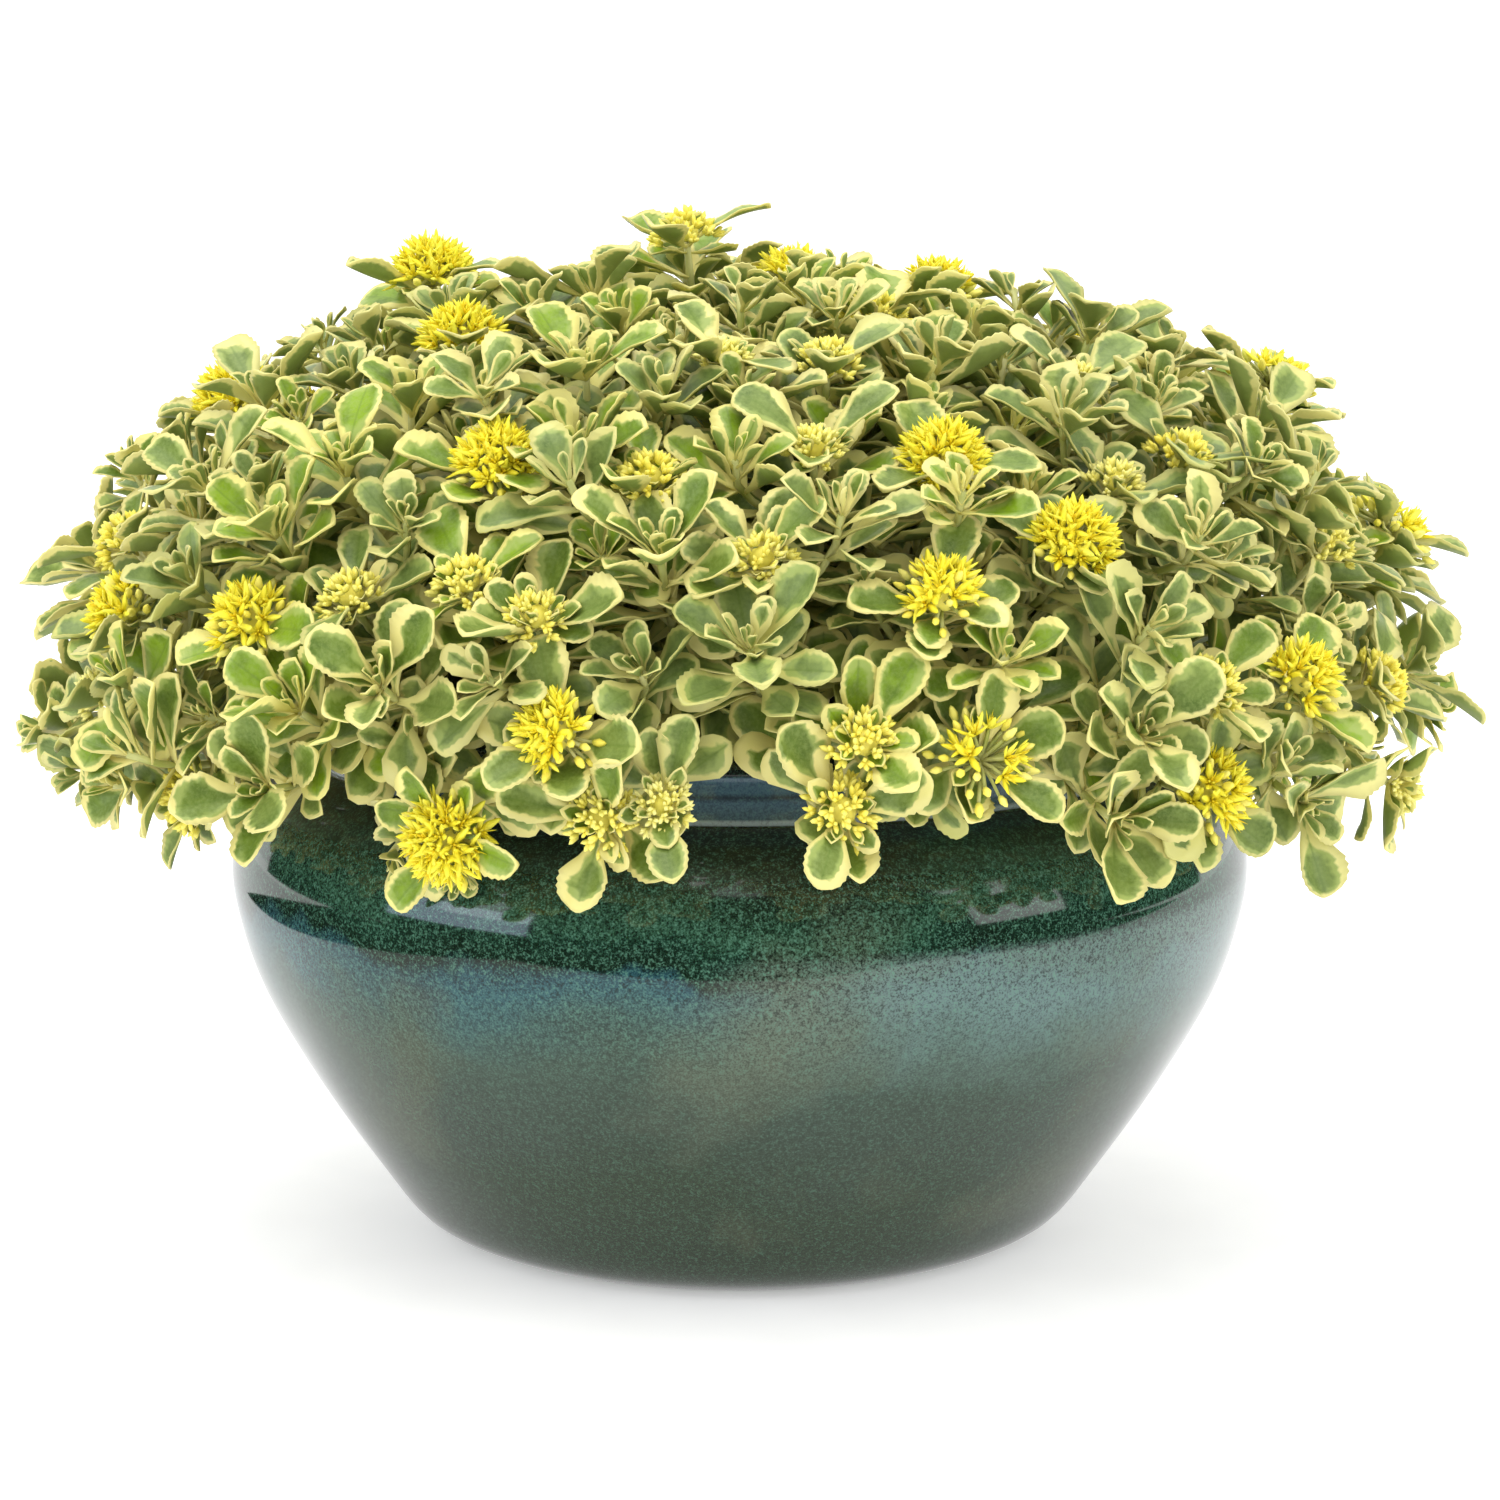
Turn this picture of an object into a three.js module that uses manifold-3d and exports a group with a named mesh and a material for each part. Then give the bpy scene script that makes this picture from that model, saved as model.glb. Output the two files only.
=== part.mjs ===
import * as THREE from "three";
import { mergeVertices } from "three/addons/utils/BufferGeometryUtils.js";
import Module from "manifold-3d";

// A stonecrop in a glazed stoneware bowl. Sizes are millimetres and angles are degrees, with +Z up and the
// origin at the centre of the pot's flat foot. The view of the photograph looks along +Y.
const wasm = await Module();
wasm.setup();

// Pot: the outside from the flat foot to the root of the collar, as radius and height
const POT_SIDES = 30;
const FOOT_RADIUS = 78;
const BELLY = [
  [FOOT_RADIUS, 0],
  [90, 6],
  [101, 20],
  [118, 45],
  [132, 70],
  [138.5, 90],
  [140, 104],
  [137, 117],
  [130, 127],
  [120, 133.5],
];
const BELLY_STEPS = 10;
// Inside, the wall follows the belly at these outer radii and heights
const HOLLOW = [
  [118, 45],
  [140, 100],
  [130, 122],
];
const COLLAR_RADIUS = 118.5;
const COLLAR_ROOT_HEIGHT = 134;
const COLLAR_SWELL = 1;
const COLLAR_SWELL_HEIGHT = 141.5;
const LIP_ROOT_HEIGHT = 147;
const LIP_RADIUS = 121;
const LIP_WIDTH = 7;
const LIP_ROLL = 2;
const POT_HEIGHT = 152.5;
const WALL = 8;
const FLOOR = 12;

// Soil: its level, its rise towards the middle, and the gap that it keeps to the pot and to each stem
const SOIL_SIDES = POT_SIDES / 2;
const SOIL_HEIGHT = 139;
const SOIL_RISE = 4;
const SOIL_SHOULDER = 0.5;
const SOIL_SHOULDER_RISE = 3;
const GAP = 0.3;

// Stems: a foot stands in a hole in the soil, and its shoots fan out from the foot
const STEM_FOOT_WIDTH = 6.4;
const STEM_APART = 1.8;
const STEM_FAN = 105;
const STEM_FOOT_DEPTH = 10;
const STEM_FOOT_STAND = 5;
const STEM_SIDES = 3;
const STEM_RADIUS = 1.5;
// Where the bare part of a shoot bends, as shares of its length below the tip
const STEM_JOINTS = [1, 0.42];
const HANGING_JOINTS = [1, 0.66, 0.36];
// A shoot leaves its foot upwards and arrives at its tip along its own facing: the pull at either end as a
// share of its length, the lean out from the foot, and how much higher a hanging shoot climbs first
const LEAVING_PULL = 0.32;
const LEAVING_LEAN = 0.12;
const ARRIVING_PULL = 0.36;
const HANGING_CLIMB = 34;
// A hanging shoot points outwards and down by these parts
const HANGING_OUT = 0.5;
const HANGING_DOWN = 0.85;
// What is tried in turn where a stem would meet a neighbour: its middle is shifted sideways and raised
const STEM_BENDS = [
  [0, 0],
  [7, 0],
  [-7, 0],
  [0, 8],
  [12, 5],
  [-12, 5],
  [18, -4],
  [-18, -4],
  [25, 8],
  [-25, 8],
  [0, 20],
  [14, 26],
  [-14, 26],
  [0, 36],
];

// Crown: the shoots end on a rounded dome, half widths along X and Y and heights above and below its girth
const CROWN_X = 183;
const CROWN_Y = 170;
const CROWN_GIRTH = 152;
const CROWN_RISE = 109;
const CROWN_DROP = 65;
const CROWN_POWER = 2.1;
const LOWEST_TIP = 114;
// Shoots face out of the crown and are drawn up to the light, the hanging ones less, each a little askew
const LIGHT_PULL = 0.55;
const HANGING_LOSS = 0.2;
const ASKEW = 0.3;

// The eye of the photograph, which turns a place in its picture into a place on the crown
const EYE_AIM = new THREE.Vector3(2.8, 0, 132);
const EYE_DISTANCE = 1500;
const EYE_RISE = 10.5;
const SIGHT_STEP = 2;
const SIGHT_BEYOND = 56;

// Shoots of the front: what each ends in, and where its tip is seen against the plane through the pot's
// axis, as millimetres to the right of the axis and above the foot
const FRONT_SHOOTS = [
  ["open", -84, 266],
  ["open", -76, 248],
  ["open", -138, 232],
  ["open", -66, 214],
  ["open", -170, 173],
  ["open", -136, 170],
  ["open", -83, 106],
  ["open", -51, 138],
  ["open", 14, 264],
  ["open", 54, 261],
  ["open", 146, 238],
  ["open", 56, 215],
  ["open", 92, 192],
  ["open", 56, 177],
  ["open", 180, 197],
  ["open", 156, 153],
  ["open", 68, 131],
  ["open", 132, 121],
  ["bud", -15, 278],
  ["bud", -4, 244],
  ["bud", 24, 243],
  ["bud", 93, 237],
  ["bud", 20, 219],
  ["bud", -25, 211],
  ["bud", 104, 210],
  ["bud", 122, 217],
  ["bud", 6, 188],
  ["bud", 163, 192],
  ["bud", 132, 152],
  ["bud", 179, 153],
  ["bud", 35, 136],
  ["bud", 186, 120],
  ["bud", 29, 116],
  ["bud", -22, 118],
  ["bud", -40, 113],
  ["bud", -56, 172],
  ["bud", -76, 182],
  ["bud", -108, 178],
  ["bud", -180, 150],
  ["bud", -156, 118],
  ["leaf", -108, 209],
  ["leaf", -145, 204],
  ["leaf", -127, 192],
  ["leaf", -42, 236],
  ["leaf", -22, 186],
  ["leaf", 3, 160],
  ["leaf", -99, 150],
  ["leaf", -130, 121],
  ["leaf", -122, 143],
  ["leaf", 104, 112],
  ["leaf", 110, 136],
  ["leaf", 155, 117],
];

// Shoots of the rest of the crown stand on a spiral of even spacing, where no other shoot is near
const SPIRAL_TURN = 137.508;
const SPIRAL_PLACES = 210;
const SPIRAL_TOP = 0.97;
const SPIRAL_FALL = 1.6;
const SPIRAL_GAP = 40;
const SPIRAL_FRONT_LOWEST = 140;
const SPIRAL_KINDS = ["leaf", "bud", "open", "leaf", "bud", "leaf", "bud"];
const OPEN_HEADS_MOST = 26;

// Bands of stems, from the rim of the pot inwards: their share of the shoots, their number, and the
// distance of their feet from the axis
const STEM_BANDS = [
  { share: 0.36, stems: 12, foot: 88 },
  { share: 0.32, stems: 10, foot: 62 },
  { share: 0.21, stems: 7, foot: 37 },
  { share: 0.11, stems: 3, foot: 13 },
];

// Leaves grow out of the sides of the stem in whorls, each given as the distance from the tip down to its
// upper edge, its turn, the lean of its leaves out from the shoot, and how many sides bear a leaf below a head
const WHORLS = [
  { below: 9, turn: 60, lean: 74, leaves: 2 },
  { below: 0, turn: 0, lean: 64, leaves: 3 },
];
// How wide a shoot opens its whorls, as a share of that lean, is drawn between this and 1
const OPENING_LEAST = 0.7;
const WHORL_TALL = 2.4;
const WHORL_FACING = 0.7;
const LEAF_LENGTH = 26;
const LEAF_LEAST = 0.86;
const LEAF_VARIES = 0.24;
const HANGING_LEAF = 0.68;
const LEAF_SPREAD = 0.52;
const LEAF_RIBS_AT = 0.55;
const LEAF_THICK = 1.6;
const LEAF_CUP = 0.09;
// Half outline of the blade from its widest point to the last notch before its tip, as shares of its length
// and of its half width
const LEAF_EDGE = [
  [0.62, 1],
  [0.87, 0.76],
  [0.9, 0.36],
];
// What is tried in turn where a leaf would meet a neighbour: raised, turned and shortened
const LEAF_BENDS = [
  [0, 0, 1],
  [-16, 0, 1],
  [12, 0, 1],
  [-6, 20, 1],
  [-6, -20, 1],
  [-26, 12, 1],
  [-26, -12, 1],
  [10, 30, 1],
  [10, -30, 1],
  [-20, 36, 0.92],
  [-20, -36, 0.92],
  [24, 0, 1],
  [24, 24, 1],
  [24, -24, 1],
  [36, 0, 0.92],
  [-12, 50, 0.88],
  [-12, -50, 0.88],
  [-34, 0, 0.85],
  [10, 0, 0.72],
];
// Leaves and stems are tried a little longer and thicker than they are made
const LEAF_CLEARANCE = 1.04;
const LEAF_SWELL = 1.5;
const STEM_SWELL = 1.6;
const TOUCH_VOLUME = 1e-4;

// Flower heads are domes of spikes, each ring of them given as its lean from the head's axis and the reach
// of its points and of the gaps between them. The points of an open head are petals, of a closed one buds.
const OPEN_POINTS = 6;
const OPEN_RINGS = [
  [30, 13.5, 8.5],
  [58, 14.5, 8.5],
  [86, 14, 7.5],
];
const OPEN_TOP = 9;
const OPEN_SEAT = 6;
// The places of the front are those of the heads' middles, this far beyond the tips of their shoots
const HEAD_MIDDLE = 6;
const BUD_POINTS = 3;
const BUD_RINGS = [
  [34, 10.5, 5],
  [66, 11, 5],
  [100, 10, 4.5],
];
const BUD_TOP = 10;
const BUD_SEAT = 5.5;

const UP = new THREE.Vector3(0, 0, 1);
const rad = THREE.MathUtils.degToRad;

// A seeded stream of draws from 0 to 1
function drawer(seed) {
  let state = seed >>> 0;
  return () => {
    state = (state + 0x6d2b79f5) >>> 0;
    let t = state;
    t = Math.imul(t ^ (t >>> 15), t | 1);
    t ^= t + Math.imul(t ^ (t >>> 7), t | 61);
    return ((t ^ (t >>> 14)) >>> 0) / 4294967296;
  };
}

// A closed geometry as a solid that can be joined and cut
function solidOf(geometry) {
  const bare = new THREE.BufferGeometry().setAttribute("position", geometry.getAttribute("position"));
  bare.setIndex(geometry.index);
  const merged = mergeVertices(bare, 1e-4);
  const mesh = new wasm.Mesh({
    numProp: 3,
    vertProperties: merged.attributes.position.array,
    triVerts: new Uint32Array(merged.index.array),
  });
  return new wasm.Manifold(mesh);
}

function namedMesh(name, solid, material) {
  const made = solid.getMesh();
  const geometry = new THREE.BufferGeometry();
  geometry.setAttribute("position", new THREE.BufferAttribute(made.vertProperties, 3));
  geometry.setIndex(new THREE.BufferAttribute(made.triVerts, 1));
  geometry.computeVertexNormals();
  const mesh = new THREE.Mesh(geometry, material);
  mesh.name = name;
  return mesh;
}

// A solid turned round the Z axis from an outline of radii and heights
function turned(outline, sides) {
  const points = outline.map(([radius, height]) => new THREE.Vector2(radius, height));
  return solidOf(new THREE.LatheGeometry(points, sides).rotateX(Math.PI / 2));
}

// The four-sided foot of a stem, or the hole for it, with one side turned away from the axis
function footSolid(stem, clear) {
  const high = stem.high - stem.low + clear;
  const post = new THREE.BoxGeometry(STEM_FOOT_WIDTH + 2 * clear, STEM_FOOT_WIDTH + 2 * clear, high);
  post.rotateZ(Math.atan2(stem.y, stem.x));
  return solidOf(post.translate(stem.x, stem.y, stem.high - high / 2));
}

// The wall inside the pot, from the floor at the axis to the collar
function potInside(clear) {
  return [
    [0, FLOOR + clear],
    [FOOT_RADIUS - clear, FLOOR + clear],
    ...HOLLOW.map(([radius, height]) => [radius - WALL - clear, height]),
    [COLLAR_RADIUS - WALL - clear, COLLAR_ROOT_HEIGHT],
  ];
}

function potSolid() {
  const belly = new THREE.SplineCurve(BELLY.map(([r, z]) => new THREE.Vector2(r, z)));
  const outside = belly.getPoints(BELLY_STEPS).map((point) => [point.x, point.y]);
  const collar = [
    [COLLAR_RADIUS, COLLAR_ROOT_HEIGHT],
    [COLLAR_RADIUS + COLLAR_SWELL, COLLAR_SWELL_HEIGHT],
    [COLLAR_RADIUS, LIP_ROOT_HEIGHT],
    [LIP_RADIUS, LIP_ROOT_HEIGHT + LIP_ROLL],
    [LIP_RADIUS - LIP_ROLL / 2, POT_HEIGHT - LIP_ROLL / 2],
    [LIP_RADIUS - LIP_WIDTH / 2, POT_HEIGHT],
    [LIP_RADIUS - LIP_WIDTH, POT_HEIGHT - LIP_ROLL],
  ];
  return turned([[0, 0], ...outside, ...collar, ...potInside(0).reverse()], POT_SIDES);
}

function soilSolid(stems) {
  const edge = COLLAR_RADIUS - WALL - GAP;
  const outline = [
    ...potInside(GAP),
    [edge, SOIL_HEIGHT],
    [edge * SOIL_SHOULDER, SOIL_HEIGHT + SOIL_SHOULDER_RISE],
    [0, SOIL_HEIGHT + SOIL_RISE],
  ];
  let soil = turned(outline, SOIL_SIDES);
  for (const stem of stems) {
    soil = soil.subtract(footSolid(stem, GAP));
  }
  return soil;
}

// How far out a place is on the crown: 1 on the dome itself
function crownShare(p) {
  const tall = p.z > CROWN_GIRTH ? CROWN_RISE : CROWN_DROP;
  return (
    Math.abs(p.x / CROWN_X) ** CROWN_POWER +
    Math.abs(p.y / CROWN_Y) ** CROWN_POWER +
    Math.abs((p.z - CROWN_GIRTH) / tall) ** CROWN_POWER
  );
}

function crownNormal(p) {
  const tall = p.z > CROWN_GIRTH ? CROWN_RISE : CROWN_DROP;
  const slope = (d, half) => (Math.sign(d) * Math.abs(d / half) ** (CROWN_POWER - 1)) / half;
  return new THREE.Vector3(
    slope(p.x, CROWN_X),
    slope(p.y, CROWN_Y),
    slope(p.z - CROWN_GIRTH, tall),
  ).normalize();
}

// The place on the crown that the eye sees at a place in the plane through the axis, or the nearest to it
function seenOnCrown(across, above) {
  const eye = EYE_AIM.clone();
  eye.y -= EYE_DISTANCE * Math.cos(rad(EYE_RISE));
  eye.z += EYE_DISTANCE * Math.sin(rad(EYE_RISE));
  const inPlane = new THREE.Vector3(across, 0, above);
  const sight = inPlane.clone().sub(eye);
  sight.divideScalar(sight.y);
  let nearest = inPlane;
  let least = Infinity;
  for (let y = -CROWN_Y; y <= SIGHT_BEYOND; y += SIGHT_STEP) {
    const p = inPlane.clone().addScaledVector(sight, y);
    const share = crownShare(p);
    if (share < least) {
      least = share;
      nearest = p;
    }
    if (share <= 1) break;
  }
  return nearest;
}

// The place on the crown in a direction from the middle of its girth
function crownToward(turn, height) {
  const flat = Math.sqrt(1 - height * height);
  const direction = new THREE.Vector3(flat * Math.cos(rad(turn)), flat * Math.sin(rad(turn)), height);
  const middle = new THREE.Vector3(0, 0, CROWN_GIRTH);
  const reach = crownShare(middle.clone().add(direction)) ** (-1 / CROWN_POWER);
  return middle.addScaledVector(direction, reach);
}

function allShoots() {
  const shoots = FRONT_SHOOTS.map(([kind, across, above]) => ({ kind, tip: seenOnCrown(across, above) }));
  let open = shoots.filter((shoot) => shoot.kind === "open").length;
  for (let i = 0; i < SPIRAL_PLACES; i += 1) {
    const height = SPIRAL_TOP - (SPIRAL_FALL * (i + 0.5)) / SPIRAL_PLACES;
    const tip = crownToward(i * SPIRAL_TURN, height);
    const crowded = shoots.some((shoot) => shoot.tip.distanceTo(tip) < SPIRAL_GAP);
    const lowest = tip.y < 0 ? SPIRAL_FRONT_LOWEST : LOWEST_TIP;
    if (crowded || tip.z < lowest) continue;
    let kind = SPIRAL_KINDS[shoots.length % SPIRAL_KINDS.length];
    if (kind === "open" && open === OPEN_HEADS_MOST) kind = "bud";
    if (kind === "open") open += 1;
    shoots.push({ kind, tip });
  }
  shoots.forEach((shoot, i) => {
    shoot.draw = drawer(i + 1);
    const hang = Math.max(0, (CROWN_GIRTH - shoot.tip.z) / (CROWN_GIRTH - LOWEST_TIP));
    const facing = crownNormal(shoot.tip).addScaledVector(UP, LIGHT_PULL - HANGING_LOSS * hang);
    facing.x += ASKEW * (shoot.draw() - 0.5);
    facing.y += ASKEW * (shoot.draw() - 0.5);
    shoot.facing = facing.normalize();
    if (shoot.kind !== "leaf") shoot.tip.addScaledVector(shoot.facing, -HEAD_MIDDLE);
    shoot.hang = Math.min(1, hang);
    shoot.side = new THREE.Vector3(-shoot.tip.y, shoot.tip.x, 0).normalize();
    shoot.spin = 360 * shoot.draw();
    shoot.opening = THREE.MathUtils.lerp(OPENING_LEAST, 1, shoot.draw());
    shoot.azimuth = Math.atan2(shoot.tip.y, shoot.tip.x);
    const out = Math.hypot(shoot.tip.x, shoot.tip.y);
    shoot.polar = Math.atan2(out, shoot.tip.z - SOIL_HEIGHT);
  });
  return shoots;
}

// Neighbouring shoots share a stem: rings by how far they lean out, and each ring cut into even runs
function stemsOf(shoots) {
  const leaning = [...shoots].sort((a, b) => b.polar - a.polar);
  const stems = [];
  let taken = 0;
  STEM_BANDS.forEach((ring, r) => {
    const last = r === STEM_BANDS.length - 1;
    const count = last ? shoots.length - taken : Math.round(ring.share * shoots.length);
    const members = leaning.slice(taken, taken + count).sort((a, b) => a.azimuth - b.azimuth);
    taken += count;
    for (let s = 0; s < ring.stems; s += 1) {
      const from = Math.round((s * count) / ring.stems);
      const to = Math.round(((s + 1) * count) / ring.stems);
      const run = members.slice(from, to);
      const middle = new THREE.Vector2();
      run.forEach((shoot) => middle.add(new THREE.Vector2(shoot.tip.x, shoot.tip.y).normalize()));
      middle.setLength(ring.foot);
      const low = SOIL_HEIGHT - STEM_FOOT_DEPTH;
      const high = SOIL_HEIGHT + SOIL_RISE + STEM_FOOT_STAND;
      stems.push({ shoots: run, x: middle.x, y: middle.y, low, high });
    }
  });
  return stems;
}

// The line of a shoot from the foot of its stem to its tip; one that hangs comes over the rim from above
function shootPath(stem, shoot, sideways, raised) {
  const outward = new THREE.Vector3(shoot.tip.x, shoot.tip.y, 0).normalize();
  const place = stem.shoots.indexOf(shoot) - (stem.shoots.length - 1) / 2;
  const turn = Math.atan2(stem.y, stem.x) + rad(place * STEM_FAN);
  const apart = new THREE.Vector3(Math.cos(turn), Math.sin(turn), 0).setLength(STEM_APART);
  const start = new THREE.Vector3(stem.x, stem.y, stem.high - 1).add(apart);
  const drop = outward.clone().multiplyScalar(HANGING_OUT).addScaledVector(UP, -HANGING_DOWN);
  const arrive = shoot.facing.clone().lerp(drop, shoot.hang).normalize();
  const run = start.distanceTo(shoot.tip);
  const rise = start.clone().addScaledVector(UP, LEAVING_PULL * run + HANGING_CLIMB * shoot.hang);
  rise.addScaledVector(outward, LEAVING_LEAN * run);
  const approach = shoot.tip.clone().addScaledVector(arrive, -ARRIVING_PULL * run);
  const sidelong = outward.clone().cross(UP).multiplyScalar(sideways).addScaledVector(UP, raised);
  rise.add(sidelong);
  approach.add(sidelong);
  return new THREE.CubicBezierCurve3(start, rise, approach, shoot.tip.clone());
}

// Three axes of something that leaves an axis at a turn about it and a lean from it: along itself, across,
// and the side that it turns to the light
function leaningAxes(axis, side, turn, lean) {
  const level = side.clone().addScaledVector(axis, -side.dot(axis)).normalize();
  const out = level.applyAxisAngle(axis, rad(turn));
  const along = axis.clone().multiplyScalar(Math.cos(rad(lean))).addScaledVector(out, Math.sin(rad(lean)));
  const face = axis.clone().multiplyScalar(Math.sin(rad(lean))).addScaledVector(out, -Math.cos(rad(lean)));
  const across = face.clone().cross(along);
  return { along, across, face };
}

// The cross-sections of a shoot from its foot to its tip; the last ones bound its whorls
function sectionsOf(shoot, path, radius) {
  const length = path.getLength();
  const joints = shoot.hang > 0 ? HANGING_JOINTS : STEM_JOINTS;
  const marks = joints.map((share) => ({ below: share * length, turn: WHORLS[0].turn, facing: 0 }));
  for (const whorl of WHORLS) {
    marks.push({ below: whorl.below + WHORL_TALL, turn: whorl.turn, facing: WHORL_FACING, whorl });
    marks.push({ below: whorl.below, turn: whorl.turn, facing: WHORL_FACING });
  }
  return marks.map(({ below, turn, facing, whorl }) => {
    const share = Math.max(0, 1 - below / length);
    const middle = path.getPointAt(share);
    const axis = path.getTangentAt(share).lerp(shoot.facing, facing).normalize();
    const corners = [];
    for (let i = 0; i < STEM_SIDES; i += 1) {
      const way = shoot.spin + turn + ((i - 0.5) * 360) / STEM_SIDES;
      const { along } = leaningAxes(axis, shoot.side, way, 90);
      corners.push(middle.clone().addScaledVector(along, radius));
    }
    return { middle, axis, turn, corners, whorl };
  });
}

// The points of a leaf beyond its neck: the rim from its right side round the tip to its left, and two ribs
function leafPoints(root, axes, length, swell) {
  const half = (length * LEAF_SPREAD) / 2;
  const cup = LEAF_CUP * length;
  const thick = (LEAF_THICK * swell) / 2;
  const place = (x, y, z) => {
    const beyond = root.clone().addScaledVector(axes.along, x);
    return beyond.addScaledVector(axes.across, y).addScaledVector(axes.face, z);
  };
  const right = LEAF_EDGE.map(([x, y]) => place(x * length, y * half, cup * y));
  const left = [...LEAF_EDGE].reverse().map(([x, y]) => place(x * length, -y * half, cup * y));
  const rim = [...right, place(length, 0, 0), ...left];
  const middle = LEAF_RIBS_AT * length;
  return { rim, upper: place(middle, 0, thick), under: place(middle, 0, -thick) };
}

// The triangles of a leaf whose neck is one side of the stem, given by the numbers of that side's lower
// left, lower right, upper right and upper left corners and of the leaf's own first point
function leafFaces([lowLeft, lowRight, highRight, highLeft], first, count) {
  const upper = first + count;
  const under = upper + 1;
  const last = upper - 1;
  const faces = [highRight, highLeft, upper, first, highRight, upper, highLeft, last, upper];
  faces.push(lowLeft, lowRight, under, lowRight, first, under, last, lowLeft, under);
  faces.push(lowRight, highRight, first, highLeft, lowLeft, last);
  for (let i = first; i < last; i += 1) {
    faces.push(i + 1, i, upper, i, i + 1, under);
  }
  return faces;
}

// A leaf closed across its neck, to try in a place
function leafAlone(neck, points) {
  const count = points.rim.length;
  const all = [...neck, ...points.rim, points.upper, points.under];
  const faces = [...leafFaces([0, 1, 2, 3], 4, count), 0, 3, 2, 0, 2, 1];
  return solidOf(new THREE.BufferGeometry().setFromPoints(all).setIndex(faces));
}

// A shoot with its leaves, and its buds if it has them, as one closed surface
function shootSolid(sections, leaves, buds) {
  const points = sections.flatMap((section) => section.corners);
  const faces = [0, 2, 1];
  const tip = points.length - STEM_SIDES;
  if (buds) {
    const first = points.length;
    points.push(...buds.rings.flat(), buds.top);
    faces.push(...burstFaces(buds, first));
    const last = first + (buds.rings.length - 1) * 2 * STEM_SIDES;
    for (let i = 0; i < STEM_SIDES; i += 1) {
      const corner = tip + i;
      const here = last + 2 * i;
      const onward = last + ((2 * i + 2) % (2 * STEM_SIDES));
      faces.push(corner, here + 1, here, corner, onward, here + 1);
      faces.push(corner, tip + ((i + 1) % STEM_SIDES), onward);
    }
  } else {
    faces.push(tip, tip + 1, tip + 2);
  }
  for (let ring = 0; ring < sections.length - 1; ring += 1) {
    for (let i = 0; i < STEM_SIDES; i += 1) {
      const next = (i + 1) % STEM_SIDES;
      const base = ring * STEM_SIDES;
      const neck = [base + i, base + next, base + STEM_SIDES + next, base + STEM_SIDES + i];
      const leaf = leaves.find((one) => one.ring === ring && one.side === i);
      if (leaf) {
        faces.push(...leafFaces(neck, points.length, leaf.points.rim.length));
        points.push(...leaf.points.rim, leaf.points.upper, leaf.points.under);
      } else {
        faces.push(neck[0], neck[1], neck[2], neck[0], neck[2], neck[3]);
      }
    }
  }
  return solidOf(new THREE.BufferGeometry().setFromPoints(points).setIndex(faces));
}

// A dome of spikes, as rings of points that reach out and in by turns and the point at its top
function burstPoints(heart, shoot, rings, points, top, spin) {
  const reached = (lean, reach, turn) =>
    heart.clone().addScaledVector(leaningAxes(shoot.facing, shoot.side, turn, lean).along, reach);
  const places = rings.map(([lean, out, gap], ring) => {
    const round = [];
    for (let i = 0; i < 2 * points; i += 1) {
      round.push(reached(lean, (i + ring) % 2 ? gap : out, spin + (i * 180) / points));
    }
    return round;
  });
  return { rings: places, top: reached(0, top, 0), seat: reached(180, heart.distanceTo(shoot.tip), 0) };
}

// The triangles of a dome of spikes whose rings of points follow each other from a first number, top last
function burstFaces(burst, first) {
  const count = burst.rings[0].length;
  const top = first + burst.rings.length * count;
  const faces = [];
  for (let i = 0; i < count; i += 1) {
    const next = (i + 1) % count;
    faces.push(top, first + i, first + next);
    for (let upper = first; upper < top - count; upper += count) {
      const lower = upper + count;
      faces.push(upper + i, lower + i, upper + next, upper + next, lower + i, lower + next);
    }
  }
  return faces;
}

// A dome of spikes closed below at its seat
function burstSolid(burst) {
  const count = burst.rings[0].length;
  const points = [...burst.rings.flat(), burst.top, burst.seat];
  const seat = points.length - 1;
  const last = seat - 1 - count;
  const faces = burstFaces(burst, 0);
  for (let i = 0; i < count; i += 1) {
    faces.push(seat, last + ((i + 1) % count), last + i);
  }
  return solidOf(new THREE.BufferGeometry().setFromPoints(points).setIndex(faces));
}

function openHead(shoot) {
  const heart = shoot.tip.clone().addScaledVector(shoot.facing, OPEN_SEAT);
  const head = burstPoints(heart, shoot, OPEN_RINGS, OPEN_POINTS, OPEN_TOP, shoot.spin);
  head.seat.addScaledVector(shoot.facing, GAP);
  return head;
}

function budHead(shoot) {
  const heart = shoot.tip.clone().addScaledVector(shoot.facing, BUD_SEAT);
  return burstPoints(heart, shoot, BUD_RINGS, BUD_POINTS, BUD_TOP, shoot.spin - 90 / BUD_POINTS);
}

function meets(solid, others) {
  const box = solid.boundingBox();
  return others.some(({ solid: other, box: around }) => {
    const apart = [0, 1, 2].some((k) => box.max[k] < around.min[k] || box.min[k] > around.max[k]);
    return !apart && solid.intersect(other).volume() > TOUCH_VOLUME;
  });
}

function boxed(owner, solid) {
  return { owner, solid, box: solid.boundingBox() };
}

const pot = potSolid();
const shoots = allShoots();
const stems = stemsOf(shoots);
const soil = soilSolid(stems);

// Heads come first, then the stems round them, and last the leaves, each bent clear of every other piece
const built = [boxed("pot", pot), boxed("soil", soil)];
for (const stem of stems) {
  stem.pieces = [footSolid(stem, 0)];
  for (const shoot of stem.shoots) {
    if (shoot.kind === "bud") shoot.buds = budHead(shoot);
    if (shoot.buds) built.push(boxed(stem, burstSolid(shoot.buds)));
    if (shoot.kind === "open") shoot.head = burstSolid(openHead(shoot));
  }
  built.push(boxed(stem, stem.pieces[0]));
}
const opened = shoots.filter((shoot) => shoot.head);
opened.forEach((shoot) => built.push(boxed(shoot, shoot.head)));

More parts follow.
